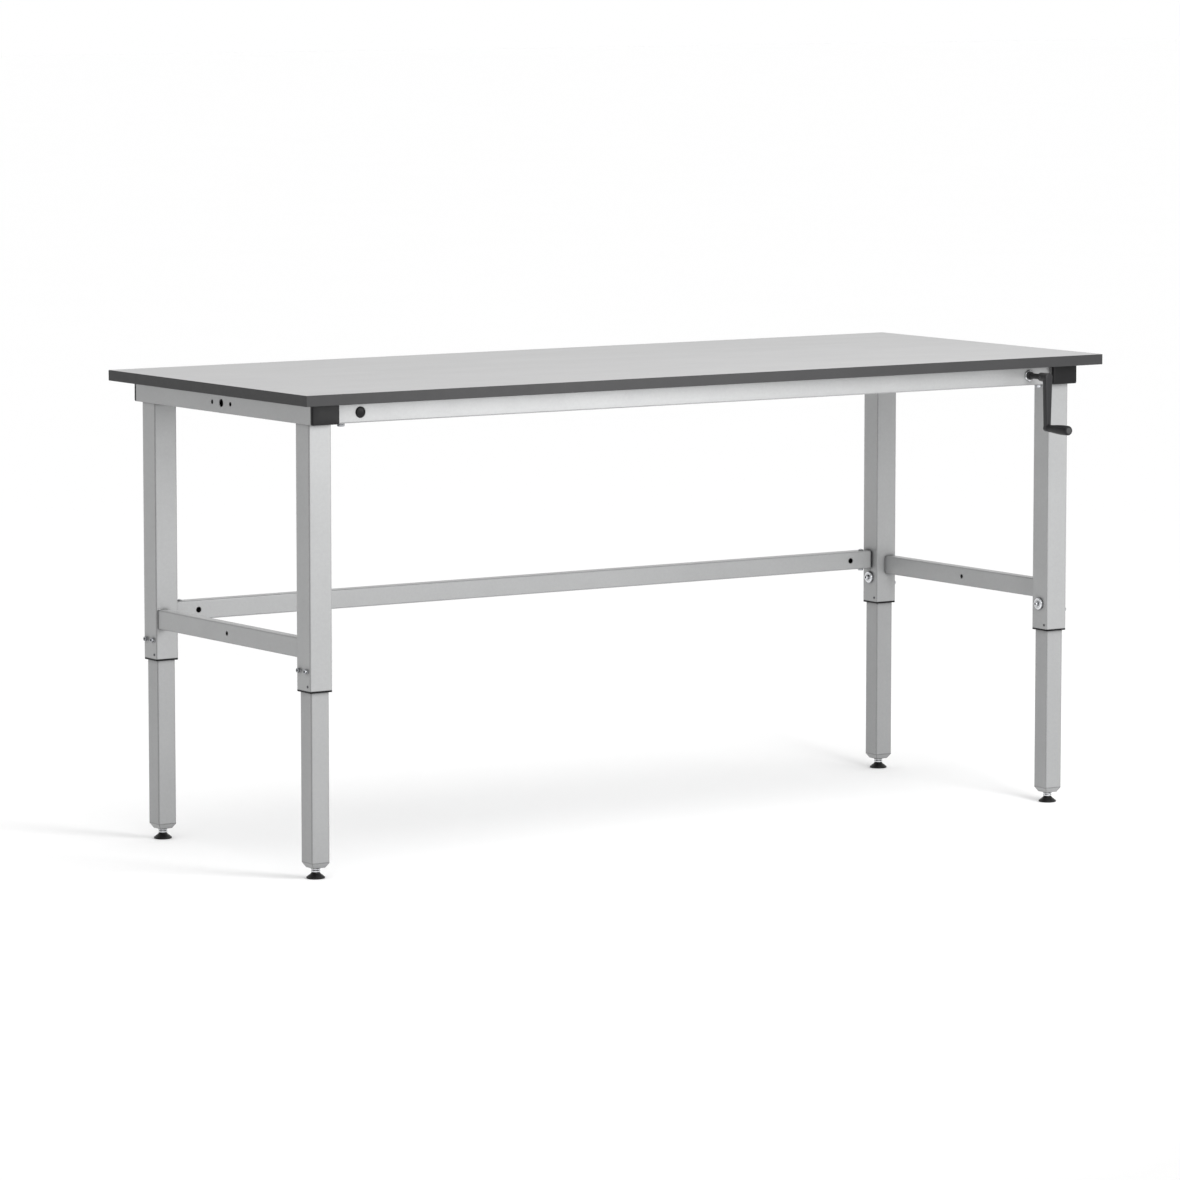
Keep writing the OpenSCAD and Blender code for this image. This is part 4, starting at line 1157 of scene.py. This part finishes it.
@dataclass
class Crank(SubAssembly):
    """Shaft with spindle, forged arm and turning grip."""

    shaft: float = 0.006
    front_collar: float = 0.0085
    rear_collar: float = 0.010
    collar_width: float = 0.005
    play: float = 0.0003
    thread_pitch: float = 0.003
    thread_depth: float = 0.0013
    arm_top: float = 0.0182
    arm_low: float = 0.0118
    arm_edge: float = 0.0022
    arm_thick: float = 0.013
    stations: int = 46
    hub_bore: float = 0.0062
    hub_edge: float = 0.0012
    grip_neck: float = 0.0078
    grip_waves: int = 14
    disc_sunk: float = 0.0018

    def build(self) -> None:
        """Makes the shaft, the arm and the grip."""
        shaft, arm = Box.of("crank_shaft"), Box.of("crank_arm")
        axis = Vector((arm.middle.x, 0.0, shaft.middle.z))
        self.shaft_and_spindle(shaft, axis)
        self.arm(arm, axis, Box.of("grip_pin").middle.z)
        self.hub(arm, axis)
        self.grip(Box.of("crank_grip"), Box.of("grip_cap"))
        LOG.info("crank: shaft, threaded spindle, arm, grub screw, grip and its end disc")

    def shaft_and_spindle(self, shaft: Box, axis: Vector) -> None:
        """Black shaft with its collars, and the threaded spindle behind the bearing.

        Args:
            shaft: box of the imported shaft.
            axis: a point on the crank's axis.
        """
        bearing = Box.of("pump_cradle").lo.y - shaft.lo.y
        radius, start = self.shaft, Vector((axis.x, shaft.lo.y, axis.z))
        stop, neck = bearing + 0.009, Box.of("crank_bush").lo.y - shaft.lo.y
        profile = [(0, 0), (radius, 0)]
        for outer, low, high in (
                (self.front_collar, neck - self.collar_width, neck - self.play),
                (self.rear_collar, bearing + 0.003 + self.play, bearing + 0.003 + self.collar_width)):
            profile += [(radius, low), (outer, low), (outer, high), (radius, high)]
        profile += [(radius, stop), (0, stop)]
        Blank().turned(rounded(profile, 0.0004, 3)).deliver(
            "crank_shaft_bar", "crank", self.palette.black_coat, facing(start, BACK), "crank_shaft")
        threaded(radius, self.thread_pitch, self.thread_depth, shaft.size.y - stop, 2).deliver(
            "pump_spindle_thread", "crank", self.palette.steel, facing(start + BACK * stop, BACK),
            "crank_shaft", 60.0)

    def arm(self, arm: Box, axis: Vector, low_z: float) -> None:
        """Tapered bar with round ends.

        Args:
            arm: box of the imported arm.
            axis: a point on the crank's axis.
            low_z: height of the grip's axis.
        """
        top_radius, low_radius = arm.hi.z - axis.z, low_z - arm.lo.z
        top, bottom = axis.z + top_radius, low_z - low_radius
        rings = []
        for station in range(self.stations + 1):
            z = top + (bottom - top) * (1 - math.cos(math.pi * station / self.stations)) / 2
            share = min(1.0, max(0.0, (axis.z - z) / (axis.z - low_z)))
            half = (self.arm_top + (self.arm_low - self.arm_top) * share) / 2
            swell = math.sqrt(max(0.0, top_radius**2 - (z - axis.z) ** 2))
            foot = math.sqrt(max(0.0, low_radius**2 - (z - low_z) ** 2))
            half = swell if z > axis.z else foot if z < low_z else max(half, swell, foot)
            half = max(half, 0.0009)
            outline = soft_outline(2 * half, self.arm_thick, min(self.arm_edge, half * 0.8), 0.0, 5)
            rings.append([Vector((p.x, p.y, z)) for p in outline])
        place = Matrix.Translation(Vector((axis.x, arm.lo.y + self.arm_thick / 2, 0)))
        Blank().loft(rings).deliver(
            "crank_arm_bar", "crank", self.palette.black_coat, place, "crank_arm", 50.0)

    def hub(self, arm: Box, axis: Vector) -> None:
        """Hub behind the arm's upper end, with its grub screw.

        Args:
            arm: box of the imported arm.
            axis: a point on the crank's axis.
        """
        radius, seat = arm.hi.z - axis.z, arm.lo.y + self.arm_thick
        length = arm.hi.y - arm.lo.y - self.arm_thick
        bore, edge = self.hub_bore, self.hub_edge
        profile = [(bore, length), (radius - edge, length), (radius, length - edge), (radius, 0.001),
                   (radius, -0.003), (bore, -0.003), (bore, length)]
        Blank().loft([circle(r, z) for r, z in profile], capped=False).deliver(
            "crank_hub", "crank", self.palette.black_coat, facing(Vector((axis.x, seat, axis.z)), BACK),
            "crank_arm")
        spot = Vector((axis.x - radius + 0.0004, seat + length * 0.5, axis.z))
        screw_head(0.003, 0.0004, 0.0002, Socket(0.003, 0.0003)).deliver(
            "hub_grub_screw", "crank", self.palette.dark_steel, facing(spot, LEFT), "crank_arm")

    def grip(self, grip: Box, cap: Box) -> None:
        """Waisted grip that swells to its free end, with a lighter disc let into the end.

        Args:
            grip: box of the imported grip.
            cap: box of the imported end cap.
        """
        most, neck = grip.size.z / 2, self.grip_neck
        length = grip.size.y + cap.size.y
        start = Vector((grip.middle.x, grip.hi.y, grip.middle.z))
        profile = [(0.0041, 0.0), (0.0068, 0.0), (neck, 0.0008), (0.0080, 0.0022), (neck, 0.0034)]
        for step in range(1, self.grip_waves + 1):
            share = step / self.grip_waves
            swell = neck + (most - neck) * math.sin(math.pi / 2 * min(1.0, share * 1.25)) ** 1.3
            profile.append((swell, 0.0034 + (length - 0.0095) * share))
        profile += [(most - inset, length - back) for inset, back in (
            (0.0005, 0.0030), (0.0016, 0.0010), (0.0028, 0.0002), (0.0032, 0.0006), (0.0034, self.disc_sunk))]
        profile += [(0.001, length - self.disc_sunk), (0.00001, length - self.disc_sunk)]
        Blank().loft([circle(r, z, 64) for r, z in profile], capped=False).deliver(
            "grip_shell", "grip", self.palette.grip, facing(start, FORWARD), "crank_grip", 40.0)
        rim = most - 0.0039
        profile = [(0, -0.0002), (rim, -0.0002), (rim, 0.0011), (rim - 0.0004, 0.0014), (rim * 0.62, 0.0015),
                   (rim * 0.6, 0.0010), (rim * 0.5, 0.0010), (rim * 0.48, 0.0014), (0, 0.0015)]
        Blank().turned(rounded(profile, 0.0002, 3), 64).deliver(
            "grip_end_disc", "grip", self.palette.grip_end,
            facing(start + FORWARD * (length - self.disc_sunk), FORWARD), "grip_cap")


@dataclass
class WeldBeads(SubAssembly):
    """Fillet welds where rails and end beams meet the legs, under the same coat."""

    radius: float = 0.0017
    ripple: float = 0.0022
    wave: float = 0.12
    taper: float = 0.004
    offset: float = 0.00012
    rail_margin: float = 0.003
    leg_margin: float = 0.005

    def build(self) -> None:
        """Runs beads along the rails' ends and under the end beams."""
        for side, tag in ((-1, "left"), (1, "right")):
            rail = Box.of(f"side_rail_{tag}")
            for row, y in ((-1, rail.lo.y), (1, rail.hi.y)):
                for x, out in ((rail.lo.x, -1), (rail.hi.x, 1)):
                    a = Vector((x + out * self.offset, y - row * self.offset, rail.lo.z + self.rail_margin))
                    b = Vector((a.x, a.y, rail.hi.z - self.rail_margin))
                    self.bead(f"weld_rail_{tag}_{'f' if row < 0 else 'r'}{'o' if out == side else 'i'}", a, b)
        z = Box.of("end_beam_left").lo.z - self.offset
        for corner in Corner:
            leg = Box.of(f"leg_tube_{corner.value}")
            for y, tag in ((leg.lo.y, "a"), (leg.hi.y, "b")):
                a = Vector((leg.lo.x + self.leg_margin, y, z))
                self.bead(f"weld_leg_{corner.value}_{tag}", a, Vector((leg.hi.x - self.leg_margin, y, z)))
        LOG.info("welds: beads on the side rails and under the end beams")

    def bead(self, name: str, start: Vector, end: Vector) -> None:
        """One rippled bead along a straight joint.

        Args:
            name: the piece's name.
            start: where the bead starts.
            end: where it ends.
        """
        length = (end - start).length
        steps = max(8, round(length / self.ripple * 5))
        rings = []
        for step in range(steps + 1):
            z = length * step / steps
            taper = min(1.0, 0.35 + 0.65 * math.sqrt(max(0.0, min(z, length - z) / self.taper)))
            wave = 1 + self.wave * math.sin(2 * math.pi * z / self.ripple)
            rings.append(circle(self.radius * taper * wave, z, 12))
        Blank().loft(rings).deliver(
            name, "frame", self.palette.silver, facing(start, end - start), crease=60.0)


@dataclass
class PackedNodes(SubAssembly):
    """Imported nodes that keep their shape: tubes, beams, board, cylinders, pump and hoses."""

    rounding: dict[str, float] = field(default_factory=lambda: {
        "glide_bushes": 0.0006, "pump_block": 0.0008, "pump_cradle": 0.0005, "pump_yoke": 0.0006,
        **{f"end_plug_{corner.value}": 0.0007 for corner in Corner}})

    def build(self) -> None:
        """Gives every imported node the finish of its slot, and rounds the sharp ones."""
        finishes = self.palette.all()
        for entry in frame["record"]["subparts"]:
            materials = frame["nodes"][entry["node"]].data.materials
            materials.clear()
            materials.append(finishes[entry["material_slot"]].material())
        for node, radius in self.rounding.items():
            soften(node, radius)


# ---------------------------------------------------------------- studio


@dataclass(frozen=True)
class Studio:
    """Pale floor, white surround, soft lights and the camera."""

    floor_reach: float = 60.0
    floor_colour: Colour = (0.88, 0.88, 0.88)
    floor_drop: float = 0.0002
    floor_lift: float = 0.09
    surround: float = 0.86
    flag_depth: float = 0.5
    key_side: Point = (-0.1, -0.3, 1.0)
    key_strength: float = 0.75
    key_spread: float = 50.0
    panel_place: Point = (0.62, -2.3, 1.45)
    panel_target: Point = (0.0, -0.3, 0.8)
    panel_size: float = 1.1
    panel_power: float = 45.0
    camera_place: Point = (-6.982, -10.344, 1.930)
    camera_yaw: float = 0.5877
    camera_pitch: float = 0.11427
    focal: float = 180.6
    far: float = 200.0

    def build(self) -> None:
        """Sets up floor, light, colour handling and camera."""
        bpy.context.scene.view_settings.view_transform = "Standard"
        self.floor()
        self.world()
        side, spot = Vector(self.key_side), Vector(self.panel_place)
        self.light("key_light", "SUN", facing(side * 5, side), energy=self.key_strength,
                   angle=math.radians(self.key_spread))
        self.light("front_panel", "AREA", facing(spot, spot - Vector(self.panel_target)),
                   shape="SQUARE", size=self.panel_size, energy=self.panel_power)
        self.aim_camera()
        LOG.info("studio: floor, surround, lights and camera")

    def floor(self) -> None:
        """Wide pale floor with a faint mottle."""
        sheet = bmesh.new()
        bmesh.ops.create_grid(sheet, x_segments=4, y_segments=4, size=self.floor_reach)
        data = bpy.data.meshes.new("floor")
        sheet.to_mesh(data)
        sheet.free()
        paint = bpy.data.materials.new("pale_floor")
        paint.use_nodes = True
        w = Wiring(paint.node_tree)
        w.feeds(paint.node_tree.nodes["Principled BSDF"],
                Base_Color=w.group(uneven_tint, Colour=self.floor_colour, Spread=0.01, Patch=0.8)[0],
                Roughness=0.9, Specular_IOR_Level=0.1,
                Emission_Color=(1.0, 1.0, 1.0), Emission_Strength=self.floor_lift)
        data.materials.append(paint)
        piece = shown("floor", data)
        piece.location.z = -self.floor_drop

    def world(self) -> None:
        """Surround that the camera sees as white, with a darker patch towards -X for the light."""
        world = bpy.data.worlds.new("surround")
        world.use_nodes = True
        w = Wiring(world.node_tree)
        seen = w.add("ShaderNodeLightPath").outputs["Is Camera Ray"]
        leftness = w.math("MAXIMUM", w.dot(w.add("ShaderNodeTexCoord").outputs["Generated"], LEFT), 0.0)
        flag = w.math("POWER", leftness, 2.0)
        lit = w.times(w.rest(w.times(flag, self.flag_depth)), self.surround)
        w.feeds(world.node_tree.nodes["Background"], Strength=w.plus(lit, w.times(w.rest(lit), seen)),
                Color=(1.0, 1.0, 1.0))
        bpy.context.scene.world = world

    @staticmethod
    def light(name: str, kind: str, place: Matrix, **settings: object) -> None:
        """Adds a light that shines along its frame's -Z.

        Args:
            name: the light's name.
            kind: SUN or AREA.
            place: its frame.
            settings: what the lamp is set to, such as energy or size.
        """
        lamp = bpy.data.lights.new(name, kind)
        for setting, value in settings.items():
            setattr(lamp, setting, value)
        piece = shown(name, lamp)
        piece.visible_camera = False
        piece.matrix_world = place

    def aim_camera(self) -> None:
        """Long lens from the front left, a little above the worktop."""
        lens = bpy.data.cameras.new("camera")
        lens.lens = self.focal
        lens.clip_end = self.far
        camera = shown("camera", lens)
        camera.location = self.camera_place
        camera.rotation_euler = (math.pi / 2 - self.camera_pitch, 0.0, -self.camera_yaw)
        bpy.context.scene.camera = camera


# ---------------------------------------------------------------- assembly


def main() -> None:
    """Builds the studio and every sub-assembly in order."""
    logging.basicConfig(level=logging.INFO, format="%(name)s: %(message)s")
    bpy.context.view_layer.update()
    palette = Palette()
    Studio().build()
    PackedNodes(palette).build()
    Worktop(palette).build()
    BeamCaps(palette).build()
    FrontFace(palette).build()
    FrameBolts(palette).build()
    LegHardware(palette).build()
    WeldBeads(palette).build()
    Crank(palette).build()
    LevellingFeet(palette).build()


if __name__ == "__main__":
    main()
